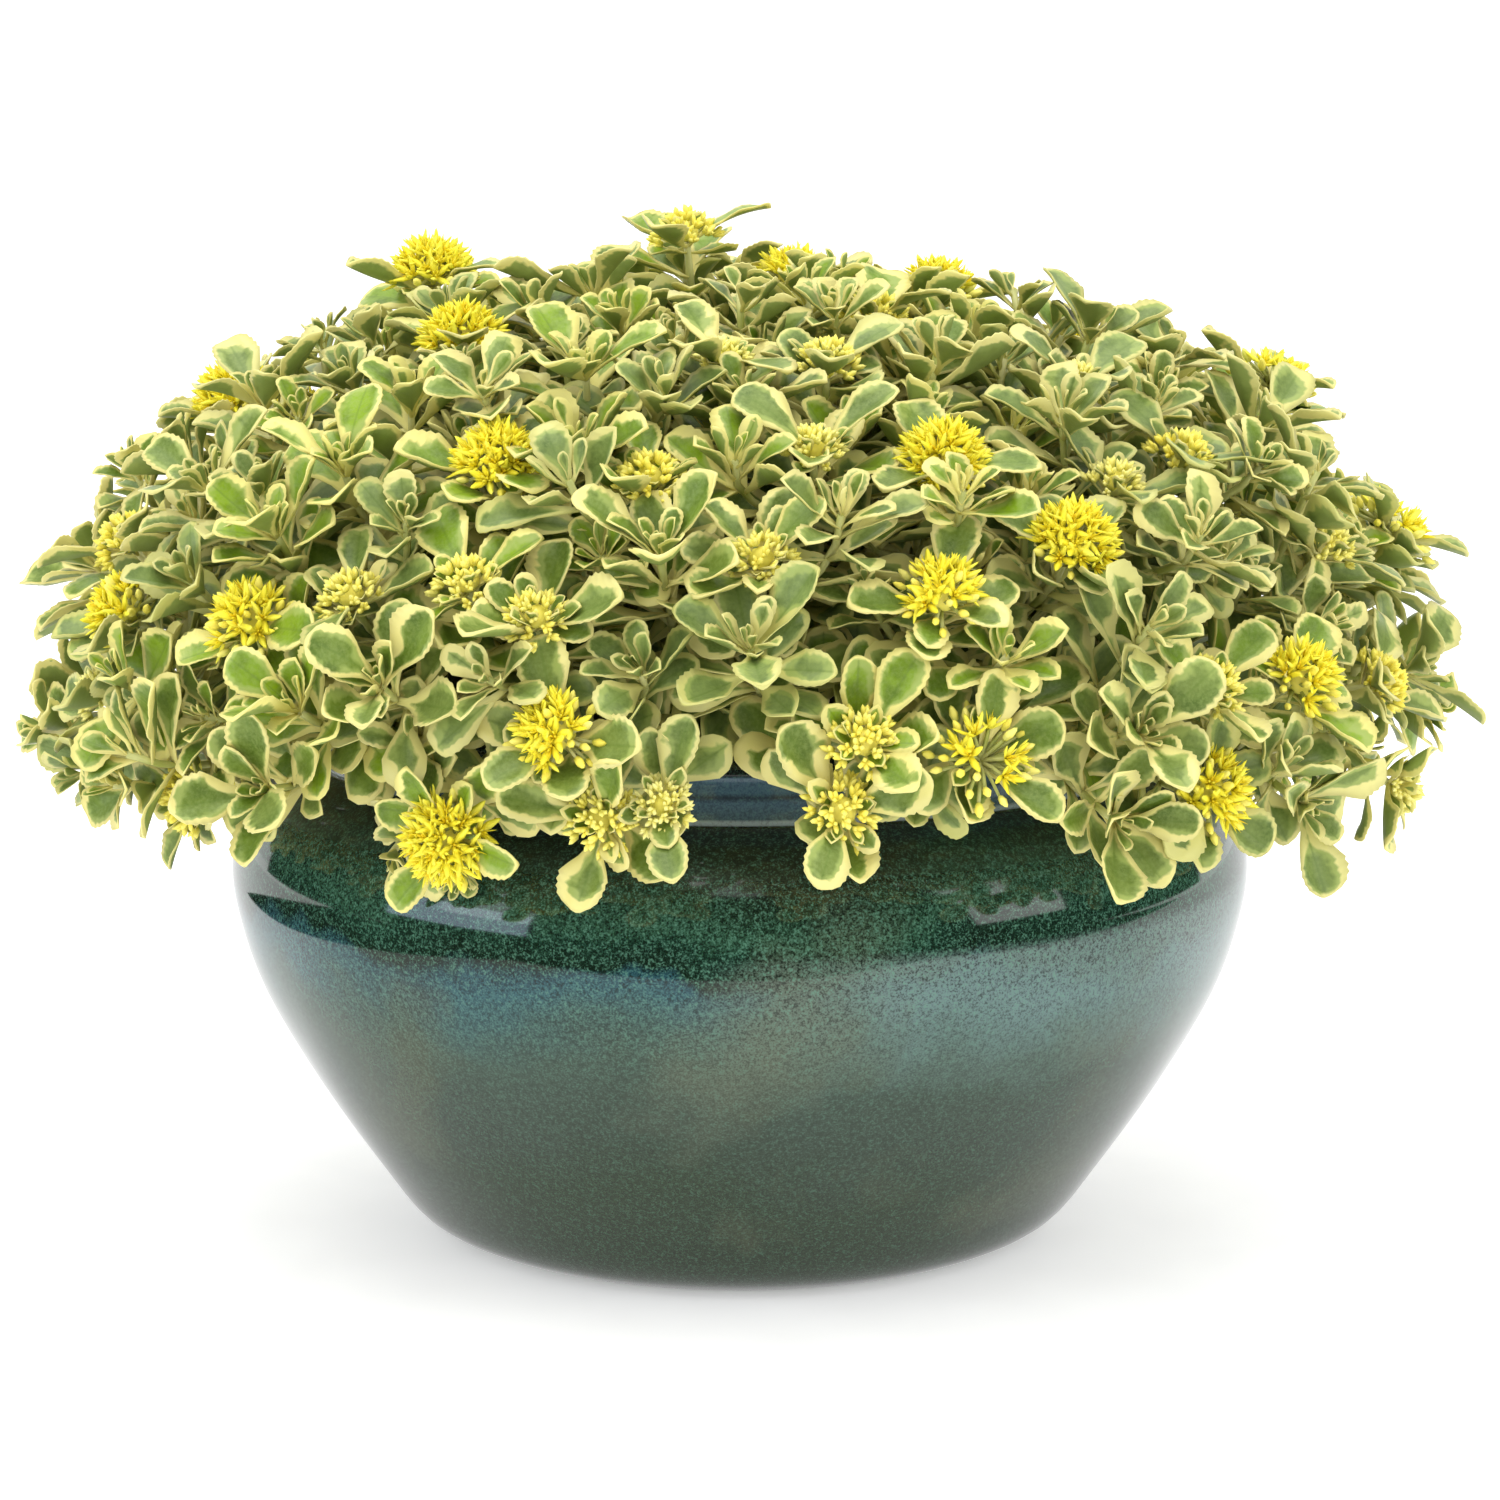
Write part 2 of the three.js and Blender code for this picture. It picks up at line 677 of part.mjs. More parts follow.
for (const stem of stems) {
  const others = built.filter((piece) => piece.owner !== stem);
  for (const shoot of stem.shoots) {
    const bare = (path, swell) => shootSolid(sectionsOf(shoot, path, STEM_RADIUS * swell), []);
    const routes = STEM_BENDS.map(([sideways, raised]) => shootPath(stem, shoot, sideways, raised));
    const clear = routes.find((route) => !meets(bare(route, STEM_SWELL), others));
    shoot.path = clear ?? routes[0];
    built.push({ ...boxed(stem, bare(shoot.path, 1)), carries: shoot });
  }
}

for (const stem of stems) {
  for (const shoot of stem.shoots) {
    const around = built.filter((piece) => piece.carries !== shoot);
    const sections = sectionsOf(shoot, shoot.path, STEM_RADIUS);
    const leaves = [];
    sections.forEach(({ whorl, corners, middle, axis }, ring) => {
      if (!whorl) return;
      const bearing = shoot.kind === "leaf" ? STEM_SIDES : whorl.leaves;
      for (let side = 0; side < bearing; side += 1) {
        const hung = THREE.MathUtils.lerp(1, HANGING_LEAF, shoot.hang ** 2);
        const size = LEAF_LENGTH * hung * (LEAF_LEAST + LEAF_VARIES * shoot.draw());
        const next = (side + 1) % STEM_SIDES;
        const above = sections[ring + 1].corners;
        const neck = [corners[side], corners[next], above[next], above[side]];
        const root = middle.clone().lerp(sections[ring + 1].middle, 0.5);
        const turn = shoot.spin + whorl.turn + (side * 360) / STEM_SIDES;
        LEAF_BENDS.some(([raise, aside, shorten]) => {
          const axes = leaningAxes(axis, shoot.side, turn + aside, whorl.lean * shoot.opening + raise);
          const longer = size * shorten * LEAF_CLEARANCE;
          const tried = leafAlone(neck, leafPoints(root, axes, longer, LEAF_SWELL));
          if (meets(tried, around)) return false;
          const points = leafPoints(root, axes, size * shorten, 1);
          leaves.push({ ring, side, points });
          const leaf = boxed(stem, leafAlone(neck, points));
          built.push(leaf);
          around.push(leaf);
          return true;
        });
      }
    });
    stem.pieces.push(shootSolid(sections, leaves, shoot.buds));
  }
}

const glaze = new THREE.MeshStandardMaterial({ color: 0x34504e, roughness: 0.15, metalness: 0 });
const earth = new THREE.MeshStandardMaterial({ color: 0x2e2620, roughness: 0.95, metalness: 0 });
const foliage = new THREE.MeshStandardMaterial({ color: 0x8fa86a, roughness: 0.5, metalness: 0 });
const petals = new THREE.MeshStandardMaterial({ color: 0xf4dc1e, roughness: 0.5, metalness: 0 });

const stonecrop = new THREE.Group();
stonecrop.add(namedMesh("pot", pot, glaze));
stonecrop.add(namedMesh("soil", soil, earth));
stems.forEach((stem, i) => {
  const joined = stem.pieces.reduce((whole, piece) => whole.add(piece));
  stonecrop.add(namedMesh("leafy_stem_" + String(i + 1).padStart(2, "0"), joined, foliage));
});
opened.forEach((shoot, i) => {
  stonecrop.add(namedMesh("flower_head_" + String(i + 1).padStart(2, "0"), shoot.head, petals));
});

export default stonecrop;
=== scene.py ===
"""A cream-edged stonecrop in flower, growing over the rim of a glazed stoneware bowl.

The plant is drawn in millimetres and each finished piece is brought to metres. Every leafy stem and flower
head grows from the same foot, along the same line and to the same tip as its solid in the frame, with finer
leaves, flowers and buds, and with the small leaves and side shoots that the solids leave out.
"""

from bisect import bisect_left
from math import atan2, cos, hypot, pi, radians, sin, sqrt

import bmesh
import bpy
from mathutils import Matrix, Vector, noise
from mathutils.bvhtree import BVHTree
from mathutils.kdtree import KDTree


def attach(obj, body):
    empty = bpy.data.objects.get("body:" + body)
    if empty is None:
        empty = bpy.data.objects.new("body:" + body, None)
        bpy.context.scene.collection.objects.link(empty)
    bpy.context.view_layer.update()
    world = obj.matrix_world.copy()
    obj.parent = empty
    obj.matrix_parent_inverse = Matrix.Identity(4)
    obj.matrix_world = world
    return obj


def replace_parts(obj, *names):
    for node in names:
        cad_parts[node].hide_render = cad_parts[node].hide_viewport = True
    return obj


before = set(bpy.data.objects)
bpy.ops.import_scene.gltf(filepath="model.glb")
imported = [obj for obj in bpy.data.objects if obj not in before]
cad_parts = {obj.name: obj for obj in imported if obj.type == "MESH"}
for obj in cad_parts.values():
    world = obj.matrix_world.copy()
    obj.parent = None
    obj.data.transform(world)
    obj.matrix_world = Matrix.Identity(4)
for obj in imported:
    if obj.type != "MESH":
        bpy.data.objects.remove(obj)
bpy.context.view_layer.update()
MM = 0.001
UP = Vector((0, 0, 1))

# The eye of the photograph, in millimetres and degrees, and its lens on a 36 mm sensor
EYE_AIM = Vector((2.8, 0, 132))
EYE_DISTANCE = 1500
EYE_RISE = 10.5
LENS = 130.4
SENSOR = 36

# Pot, as radius and height: the outside from its foot to the root of the collar, and the wall inside
FOOT_RADIUS = 78
BELLY = [
    (FOOT_RADIUS, 0), (90, 6), (101, 20), (118, 45), (132, 70), (138.5, 90), (140, 104), (137, 117),
    (130, 127), (120, 133.5),
]
BELLY_STEPS = 36
COLLAR_RADIUS = 118.5
COLLAR_FOOT = 134
# How far the collar stands out, and at what height
COLLAR = [
    (0, COLLAR_FOOT), (0.9, 134.6), (1.0, 135.2), (0.6, 136.2), (0.8, 139), (1.0, 141), (1.0, 141.6),
    (0.3, 144), (0, 146.7),
]
LIP_ROOT_HEIGHT = 147
LIP_ROOT_STAND = 0.3
LIP_RADIUS = 121
LIP_WIDTH = 7
LIP_EDGE = 0.4
LIP_STRAIGHT = 1
LIP_STEPS = 9
POT_HEIGHT = 152.5
WALL = 8
FLOOR = 12
HOLLOW = [(118, 45), (140, 100), (130, 122)]
POT_TURNS = 160
SAME_CORNER = 1e-3
# The faces of the foot that lie lower than this are bare
BARE_BELOW = 0.01

# Soil
SOIL_HEIGHT = 139
SOIL_RISE = 4
SOIL_EDGE_GAP = 0.3
SOIL_RINGS = 26
SOIL_TURNS = 96
# Lumps of its surface by how far they rise and how many there are in a millimetre, and crumbs of bark by
# their least size and what is added to it, along each of their axes
LUMPS = [(1.6, 0.11), (1.2, 0.4)]
CRUMBS = 260
CRUMB_SIZES = [(1.2, 2.4), (0.8, 1.2), (0.6, 0.8)]
CRUMB_STAND = 0.4
CRUMBS_OFF_WALL = 4

# Stems, from their feet in the soil to the tips of their shoots
STEM_APART = 1.8
STEM_FAN = 105
STEM_FOOT_DEPTH = 10
STEM_FOOT_STAND = 5
STEM_FOOT_RADIUS = 3
STEM_RADIUS = 1.5
STEM_RADIUS_AT_TIP = 1.0
STEM_STEPS = 12
STEM_TURNS = 7
# Where the solids have a ring of corners half way along a shoot, a straight one and a hanging one
BARE_SHARES = (0.58, 0.64)
LEAVING_PULL = 0.32
LEAVING_LEAN = 0.12
ARRIVING_PULL = 0.36
HANGING_CLIMB = 34
HANGING_OUT = 0.5
HANGING_DOWN = 0.85
STEM_BENDS = [
    (0, 0), (7, 0), (-7, 0), (0, 8), (12, 5), (-12, 5), (18, -4), (-18, -4), (25, 8), (-25, 8),
    (0, 20), (14, 26), (-14, 26), (0, 36),
]

# Crown that the shoots end on
CROWN_X = 183
CROWN_Y = 170
CROWN_GIRTH = 152
CROWN_RISE = 109
CROWN_DROP = 65
CROWN_POWER = 2.1
LOWEST_TIP = 114
LIGHT_PULL = 0.55
HANGING_LOSS = 0.2
ASKEW = 0.3
SIGHT_STEP = 2
SIGHT_BEYOND = 56
HEAD_MIDDLE = 6
# Room that a head takes: how far beyond the tip its middle is, and its radius
HEAD_RISE = 4.5
HEAD_ROOM = {"open": 9.5, "bud": 8.5}

# Shoots of the front, by what they end in: millimetres to the right of the pot's axis and above its foot
FRONT_SHOOTS = {
    "open": [
        (-84, 266), (-76, 248), (-138, 232), (-66, 214), (-170, 173), (-136, 170), (-83, 106), (-51, 138),
        (14, 264), (54, 261), (146, 238), (56, 215), (92, 192), (56, 177), (180, 197), (156, 153),
        (68, 131), (132, 121),
    ],
    "bud": [
        (-15, 278), (-4, 244), (24, 243), (93, 237), (20, 219), (-25, 211), (104, 210), (122, 217),
        (6, 188), (163, 192), (132, 152), (179, 153), (35, 136), (186, 120), (29, 116), (-22, 118),
        (-40, 113), (-56, 172), (-76, 182), (-108, 178), (-180, 150), (-156, 118),
    ],
    "leaf": [
        (-108, 209), (-145, 204), (-127, 192), (-42, 236), (-22, 186), (3, 160), (-99, 150), (-130, 121),
        (-122, 143), (104, 112), (110, 136), (155, 117),
    ],
}
SPIRAL_TURN = 137.508
SPIRAL_PLACES = 210
SPIRAL_TOP = 0.97
SPIRAL_FALL = 1.6
SPIRAL_GAP = 40
SPIRAL_FRONT_LOWEST = 140
SPIRAL_KINDS = ["leaf", "bud", "open", "leaf", "bud", "leaf", "bud"]
OPEN_HEADS_MOST = 26
STEM_BANDS = [(0.36, 12, 88), (0.32, 10, 62), (0.21, 7, 37), (0.11, 3, 13)]

# Side shoots fill between the others, a little inside the crown, and leafy ones stand deeper within, as how
# many places are tried, the room that each keeps, how deep they stand from and to, and the lowest on the
# front and behind
SIDE_LAYERS = [("side", 900, 19, 0.87, 1.05, 120, 118), ("inner", 1000, 23, 0.4, 0.8, 158, 158)]
SIDE_TOP = 0.98
SIDE_FALL = 1.55
SIDE_ASKEW = 1.0
SIDE_RADIUS = 1.0
SIDE_STEPS = 6
SIDE_TURNS = 6
SIDE_PULL = 0.35
SIDE_FIRST_TURN = 40
# A side shoot starts below the tip of the shoot that bears it: at the least, more by how far apart their tips
# are, and at most by a share of the length of the other
SIDE_BELOW = 14
SIDE_BELOW_MORE = 0.9
SIDE_BELOW_SHARE = 0.6

# The edge of the foliage over the front of the pot, as places against the plane through its axis
FRONT_EDGE = [
    (-210, 122), (-165, 106), (-150, 100), (-118, 102), (-110, 118), (-101, 118), (-97, 90), (-80, 84),
    (-70, 92), (-60, 106), (-52, 99), (-30, 96), (-18, 104), (-14, 130), (0, 133), (15, 130), (19, 100),
    (42, 99), (48, 106), (84, 106), (90, 96), (118, 96), (124, 108), (140, 110), (150, 103), (180, 103),
    (210, 118),
]
LOWEST_BEHIND = 102
SIDE_OFF_EDGE = 8

# Leaves of the solids: whorls by distance below the tip, turn, lean and leaves below a head
WHORLS = [(9, 60, 74, 2), (0, 0, 64, 3)]
OPENING_LEAST = 0.7
WHORL_TALL = 2.4
WHORL_FACING = 0.7
LEAF_LENGTH = 26
LEAF_LEAST = 0.86
LEAF_VARIES = 0.24
HANGING_LEAF = 0.68
LEAF_BENDS = [
    (0, 0, 1), (-16, 0, 1), (12, 0, 1), (-6, 20, 1), (-6, -20, 1), (-26, 12, 1), (-26, -12, 1), (10, 30, 1),
    (10, -30, 1), (-20, 36, 0.92), (-20, -36, 0.92), (24, 0, 1), (24, 24, 1), (24, -24, 1), (36, 0, 0.92),
    (-12, 50, 0.88), (-12, -50, 0.88), (-34, 0, 0.85), (10, 0, 0.72),
]
SAME_PLACE = 0.4
BLADE_ROLL = 24

# Outlines of a blade, scalloped by its tip: share of its length, and half its width as a share of it
FINE_OUTLINE = [
    (0, 0.03), (0.15, 0.038), (0.3, 0.072), (0.43, 0.13), (0.54, 0.187), (0.62, 0.222), (0.665, 0.241),
    (0.695, 0.225), (0.75, 0.241), (0.78, 0.22), (0.83, 0.228), (0.86, 0.204), (0.905, 0.199),
    (0.935, 0.17), (0.97, 0.14), (1, 0.09),
]
PLAIN_OUTLINE = [
    (0, 0.03), (0.2, 0.045), (0.4, 0.118), (0.56, 0.2), (0.67, 0.24), (0.71, 0.221), (0.78, 0.234),
    (0.82, 0.208), (0.88, 0.21), (0.915, 0.182), (0.96, 0.162), (1, 0.102),
]
LIGHT_OUTLINE = [(0, 0.03), (0.3, 0.07), (0.52, 0.17), (0.68, 0.23), (0.83, 0.222), (0.93, 0.178), (1, 0.105)]
BLADE_THICK = 0.04
BLADE_TIP_ROUND = 0.025
BLADE_WAVE = 0.012
BLADE_WAVES = 16
BLADE_THINS = 0.6
# The blade without its neck, coarsely, to see whether it would cut through another
PLATE_OUTLINE = [(0.4, 0.1), (0.62, 0.21), (0.82, 0.21), (0.97, 0.1)]
PLATE_NEAR = 0.45
# What is tried in turn where an added leaf would meet a neighbour: lowered and swung sideways
LEAF_SWINGS = [(0, 0), (14, 0), (-12, 0), (0, 20), (0, -20), (22, 14), (22, -14), (-22, 0)]
LEAF_ROLL = 50
# Places along an added leaf that stay clear of the rim and the wall of the pot, and how far out on the crown
# its tip may be
LEAF_PROBES = (0.5, 0.75, 1)
OFF_RIM = 1
OFF_WALL = 1.5
LEAF_FURTHEST = 1.2
# Blades by bend along, fold at the rib, cup across, twist, and width against the outline
GROWN_BLADES = [
    (-25, 0.22, 0.05, 6, 1.04), (-12, 0.32, 0.06, -8, 0.94), (10, 0.16, 0.12, 4, 1.16),
    (-40, 0.12, 0.02, -14, 1.06), (-18, 0.4, 0.05, 12, 0.86), (20, 0.1, 0.16, -10, 1.1),
]
YOUNG_BLADES = [(24, 0.3, 0.1, 0, 0.8), (38, 0.2, 0.16, 8, 0.72), (12, 0.36, 0.06, -8, 0.9)]

# The streams of draws, each with its own seed, or with the first of a run of seeds
CRUMB_SEED = 51
LAYER_SEED = 77
TONE_SEED = 500
SIDE_SEED = 2000
STEM_SEED = 4000
HEAD_SEED = 7000


def drawer(seed):
    """A seeded stream of draws from 0 to 1."""
    state = seed

    def draw():
        nonlocal state
        state = (state + 0x6D2B79F5) & 0xFFFFFFFF
        t = state
        t = ((t ^ (t >> 15)) * (t | 1)) & 0xFFFFFFFF
        t ^= (t + (((t ^ (t >> 7)) * (t | 61)) & 0xFFFFFFFF)) & 0xFFFFFFFF
        return ((t ^ (t >> 14)) & 0xFFFFFFFF) / 4294967296

    return draw


class Line:
    """A cubic curve that is measured along itself."""

    STEPS = 200

    def __init__(self, *pulls):
        self.pulls = pulls
        self.lengths = [0]
        last = self.place(0)
        for i in range(1, self.STEPS + 1):
            here = self.place(i / self.STEPS)
            self.lengths.append(self.lengths[-1] + (here - last).length)
            last = here
        self.length = self.lengths[-1]

    def place(self, t):
        a, b, c, d = self.pulls
        s = 1 - t
        return a * s**3 + b * (3 * s * s * t) + c * (3 * s * t * t) + d * t**3

    def time(self, share):
        target = min(max(share, 0), 1) * self.length
        i = min(max(bisect_left(self.lengths, target), 1), self.STEPS)
        low, high = self.lengths[i - 1], self.lengths[i]
        return (i - 1 + (target - low) / (high - low)) / self.STEPS

    def at(self, share):
        return self.place(self.time(share))

    def along(self, share):
        t = self.time(share)
        step = 1e-4
        return (self.place(min(t + step, 1)) - self.place(max(t - step, 0))).normalized()


def crown_share(p):
    """How far out a place is on the crown: 1 on the crown itself."""
    tall = CROWN_RISE if p.z > CROWN_GIRTH else CROWN_DROP
    parts = (p.x / CROWN_X, p.y / CROWN_Y, (p.z - CROWN_GIRTH) / tall)
    return sum(abs(part) ** CROWN_POWER for part in parts)


def crown_normal(p):
    """The way that the crown faces near a place."""
    tall = CROWN_RISE if p.z > CROWN_GIRTH else CROWN_DROP
    halves = (CROWN_X, CROWN_Y, tall)
    slopes = []
    for d, half in zip((p.x, p.y, p.z - CROWN_GIRTH), halves):
        slopes.append((1 if d > 0 else -1) * abs(d / half) ** (CROWN_POWER - 1) / half)
    return Vector(slopes).normalized()


def eye_place():
    """Where the photograph was taken from."""
    rise = radians(EYE_RISE)
    return EYE_AIM + Vector((0, -cos(rise), sin(rise))) * EYE_DISTANCE


def seen_on_crown(across, above):
    """The place on the crown that the eye sees at a place in the plane through the axis, or the nearest."""
    in_plane = Vector((across, 0, above))
    sight = in_plane - eye_place()
    sight /= sight.y
    nearest, least = in_plane, float("inf")
    y = -CROWN_Y
    while y <= SIGHT_BEYOND:
        p = in_plane + sight * y
        share = crown_share(p)
        if share < least:
            nearest, least = p, share
        if share <= 1:
            break
        y += SIGHT_STEP
    return nearest


def crown_toward(turn, height, depth=1):
    """The place on the crown in a direction from the middle of its girth."""
    flat = sqrt(1 - height * height)
    direction = Vector((flat * cos(radians(turn)), flat * sin(radians(turn)), height))
    middle = Vector((0, 0, CROWN_GIRTH))
    return middle + direction * (depth * crown_share(middle + direction) ** (-1 / CROWN_POWER))


class Shoot:
    """A shoot by what it ends in and where, with the way that its end faces."""

    def __init__(self, kind, tip, seed):
        self.kind, self.tip, self.draw = kind, tip, drawer(seed)
        hang = max(0, (CROWN_GIRTH - tip.z) / (CROWN_GIRTH - LOWEST_TIP))
        facing = crown_normal(tip) + UP * (LIGHT_PULL - HANGING_LOSS * hang)
        askew = SIDE_ASKEW if kind in ("side", "inner") else ASKEW
        facing.x += askew * (self.draw() - 0.5)
        facing.y += askew * (self.draw() - 0.5)
        self.facing = facing.normalized()
        if kind in ("open", "bud"):
            self.tip = tip - self.facing * HEAD_MIDDLE
        self.hang = min(1, hang)
        self.side = Vector((-self.tip.y, self.tip.x, 0)).normalized()
        self.spin = 360 * self.draw()
        self.opening = OPENING_LEAST + (1 - OPENING_LEAST) * self.draw()
        self.leaf = LEAF_LENGTH * (1 + (HANGING_LEAF - 1) * self.hang**2)
        self.head = None
        self.azimuth = atan2(self.tip.y, self.tip.x)
        self.polar = atan2(hypot(self.tip.x, self.tip.y), self.tip.z - SOIL_HEIGHT)


def all_shoots():
    """The shoots of the front at the places that were set for them, and the others along a spiral."""
    placed = [(kind, seen_on_crown(*place)) for kind, places in FRONT_SHOOTS.items() for place in places]
    opened = len(FRONT_SHOOTS["open"])
    for i in range(SPIRAL_PLACES):
        tip = crown_toward(i * SPIRAL_TURN, SPIRAL_TOP - SPIRAL_FALL * (i + 0.5) / SPIRAL_PLACES)
        lowest = SPIRAL_FRONT_LOWEST if tip.y < 0 else LOWEST_TIP
        if tip.z < lowest or any((other - tip).length < SPIRAL_GAP for _, other in placed):
            continue
        kind = SPIRAL_KINDS[len(placed) % len(SPIRAL_KINDS)]
        if kind == "open" and opened == OPEN_HEADS_MOST:
            kind = "bud"
        opened += kind == "open"
        placed.append((kind, tip))
    return [Shoot(kind, tip, i + 1) for i, (kind, tip) in enumerate(placed)]


class Stem:
    """A foot in the soil and the shoots that fan out from it."""

    def __init__(self, shoots, foot):
        self.shoots = shoots
        middle = sum((Vector((s.tip.x, s.tip.y, 0)).normalized() for s in shoots), Vector())
        self.foot = middle.normalized() * foot


def half_up(value):
    """The nearest whole number, and the upper one from half way."""
    return int(value + 0.5)


def stems_of(shoots):
    """Neighbouring shoots share a stem: rings by how far they lean out, and each ring cut into even runs."""
    leaning = sorted(shoots, key=lambda shoot: -shoot.polar)
    stems = []
    taken = 0
    for band, (share, count, foot) in enumerate(STEM_BANDS):
        last = band == len(STEM_BANDS) - 1
        size = len(shoots) - taken if last else half_up(share * len(shoots))
        members = sorted(leaning[taken : taken + size], key=lambda shoot: shoot.azimuth)
        taken += size
        for s in range(count):
            run = members[half_up(s * size / count) : half_up((s + 1) * size / count)]
            stems.append(Stem(run, foot))
    return stems


def shoot_line(stem, shoot, sideways, raised):
    """The line of a shoot from the foot of its stem; a shoot that hangs comes over the rim from above."""
    outward = Vector((shoot.tip.x, shoot.tip.y, 0)).normalized()
    place = stem.shoots.index(shoot) - (len(stem.shoots) - 1) / 2
    turn = atan2(stem.foot.y, stem.foot.x) + radians(place * STEM_FAN)
    high = SOIL_HEIGHT + SOIL_RISE + STEM_FOOT_STAND
    start = stem.foot + UP * (high - 1) + Vector((cos(turn), sin(turn), 0)) * STEM_APART
    drop = outward * HANGING_OUT - UP * HANGING_DOWN
    arrive = shoot.facing.lerp(drop, shoot.hang).normalized()
    run = (start - shoot.tip).length
    sidelong = outward.cross(UP) * sideways + UP * raised
    rise = start + UP * (LEAVING_PULL * run + HANGING_CLIMB * shoot.hang) + outward * (LEAVING_LEAN * run)
    approach = shoot.tip - arrive * (ARRIVING_PULL * run)
    return Line(start, rise + sidelong, approach + sidelong, shoot.tip)


def leaning_axes(axis, side, turn, lean):
    """Along, across and light side of something that leaves an axis at a turn about it and a lean from it."""
    level = (side - axis * side.dot(axis)).normalized()
    out = Matrix.Rotation(radians(turn), 3, axis) @ level
    along = axis * cos(radians(lean)) + out * sin(radians(lean))
    face = axis * sin(radians(lean)) - out * cos(radians(lean))
    return along, face.cross(along), face


def shoot_axis(shoot, line, below):
    """The way that a shoot points at a distance below its tip, turned toward the way that its end faces."""
    share = max(0, 1 - below / line.length)
    return line.along(share).lerp(shoot.facing, WHORL_FACING).normalized()


class Grown:
    """The corners of a solid of the frame, to follow the way that its stems and leaves were bent."""

    def __init__(self, node):
        corners = [corner.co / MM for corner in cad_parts[node].data.vertices]
        self.tree = KDTree(len(corners))
        for i, corner in enumerate(corners):
            self.tree.insert(corner, i)
        self.tree.balance()

    def away(self, place):
        return self.tree.find(place)[2]


def placed(root, axes, scale):
    """Where a leaf stands on its root, drawn out along the first of its axes."""
    along, across, face = (axis * scale for axis in axes)
    return Matrix.Translation(root) @ Matrix((along, across, face)).transposed().to_4x4()


# Meshes of leaves, buds and petals, drawn once for a length of 1 and copied to their places

SHAPE_LAYERS = ("edge", "rib", "under", "age")
# Places of the materials: leaves or petals come first, and carpels only in open heads
LEAF = PETAL = 0
STALK, BUD, CARPEL = 1, 2, 3


def new_shape():
    """An empty shape whose corners know how far they are from its rim and rib, its light side and its age."""
    bm = bmesh.new()
    for name in SHAPE_LAYERS:
        bm.verts.layers.float.new(name)
    return bm


def mesh_of(bm, name, materials=()):
    """The mesh of a finished bmesh, with its materials."""
    mesh = bpy.data.meshes.new(name)
    bm.to_mesh(mesh)
    bm.free()
    for material in materials:
        mesh.materials.append(material)
    return mesh


def finished_shape(bm, name, material):
    """The mesh of a shape, rounded in its shading and with its faces turned outwards."""
    bmesh.ops.recalc_face_normals(bm, faces=bm.faces[:])
    for face in bm.faces:
        face.smooth = True
        face.material_index = material
    return mesh_of(bm, name)


def on_blade(t, half, across, lift, form):
    """A place on a blade that is folded at its rib, cupped, twisted and bent along."""
    bend, fold, cup, twist, _ = form
    reach = abs(across)
    lift += half * (fold * reach + cup * across * across * 3)
    lift += BLADE_WAVE * reach * sin(BLADE_WAVES * t + 2 * across)
    bend, turned = radians(bend), radians(twist * t)
    y = across * half * cos(turned) - lift * sin(turned)
    z = across * half * sin(turned) + lift * cos(turned)
    angle = bend * (t - 0.5)
    x = (sin(angle) + sin(bend / 2)) / bend
    rise = (cos(bend / 2) - cos(angle)) / bend
    return Vector((x - sin(angle) * z, y, rise + cos(angle) * z))


def blade_shape(outline, columns, form):
    """A fleshy blade from a grid with a wall, and the coarse plate that stands for it by its neighbours."""
    width = form[-1]
    bm = new_shape()
    rows = len(outline) - 1
    bmesh.ops.create_grid(bm, x_segments=rows, y_segments=columns, size=0.5)
    bmesh.ops.solidify(bm, geom=bm.faces[:], thickness=1)
    edge, rib, under = (bm.verts.layers.float[name] for name in ("edge", "rib", "under"))
    middle = sum(v.co.z for v in bm.verts) / len(bm.verts)
    for v in bm.verts:
        row = round((v.co.x + 0.5) * rows)
        t, half = outline[row]
        half *= width
        across = 2 * v.co.y
        reach = abs(across)
        layer = 1 if v.co.z > middle else -1
        v[edge] = 0 if row == rows else min(half * (1 - reach), 1 - t + BLADE_TIP_ROUND / 3)
        v[rib] = half * reach
        v[under] = 0 if layer > 0 else 1
        t -= BLADE_TIP_ROUND * across * across * (row / rows) ** 4
        v.co = on_blade(t, half, across, layer * BLADE_THICK / 2 * (1 - BLADE_THINS * across * across), form)
    plate = [on_blade(t, half * width, across, 0, form) for t, half in PLATE_OUTLINE for across in (-1, 0, 1)]
    return finished_shape(bm, "blade", LEAF), plate


def spindle_shape(name, turns, rings, thick, wide, hook, material):
    """A closed spindle of length 1 along Z, widest below its middle and pointed at its tip.

    Its corners keep the share of its length that they stand at, in place of their distance from a rim.
    """
    bm = new_shape()
    bmesh.ops.create_uvsphere(bm, u_segments=turns, v_segments=rings, radius=0.5)
    edge = bm.verts.layers.float["edge"]
    for v in bm.verts:
        share = v.co.z + 0.5
        swell = 1 if share < 0.4 else 1.35 - 0.75 * share
        v[edge] = share
        v.co = Vector((v.co.x * 2 * wide * swell, v.co.y * 2 * thick * swell + hook * share * share, share))
    return finished_shape(bm, name, material)


def add_copy(bm, shape, matrix, age):
    """A copy of a shape in its place, with the age that colours it."""
    copy = shape.copy()
    copy.transform(matrix)
    if matrix.determinant() < 0:
        copy.flip_normals()
    ages = copy.attributes["age"]
    ages.data.foreach_set("value", [age] * len(copy.vertices))
    bm.from_mesh(copy)
    bpy.data.meshes.remove(copy)


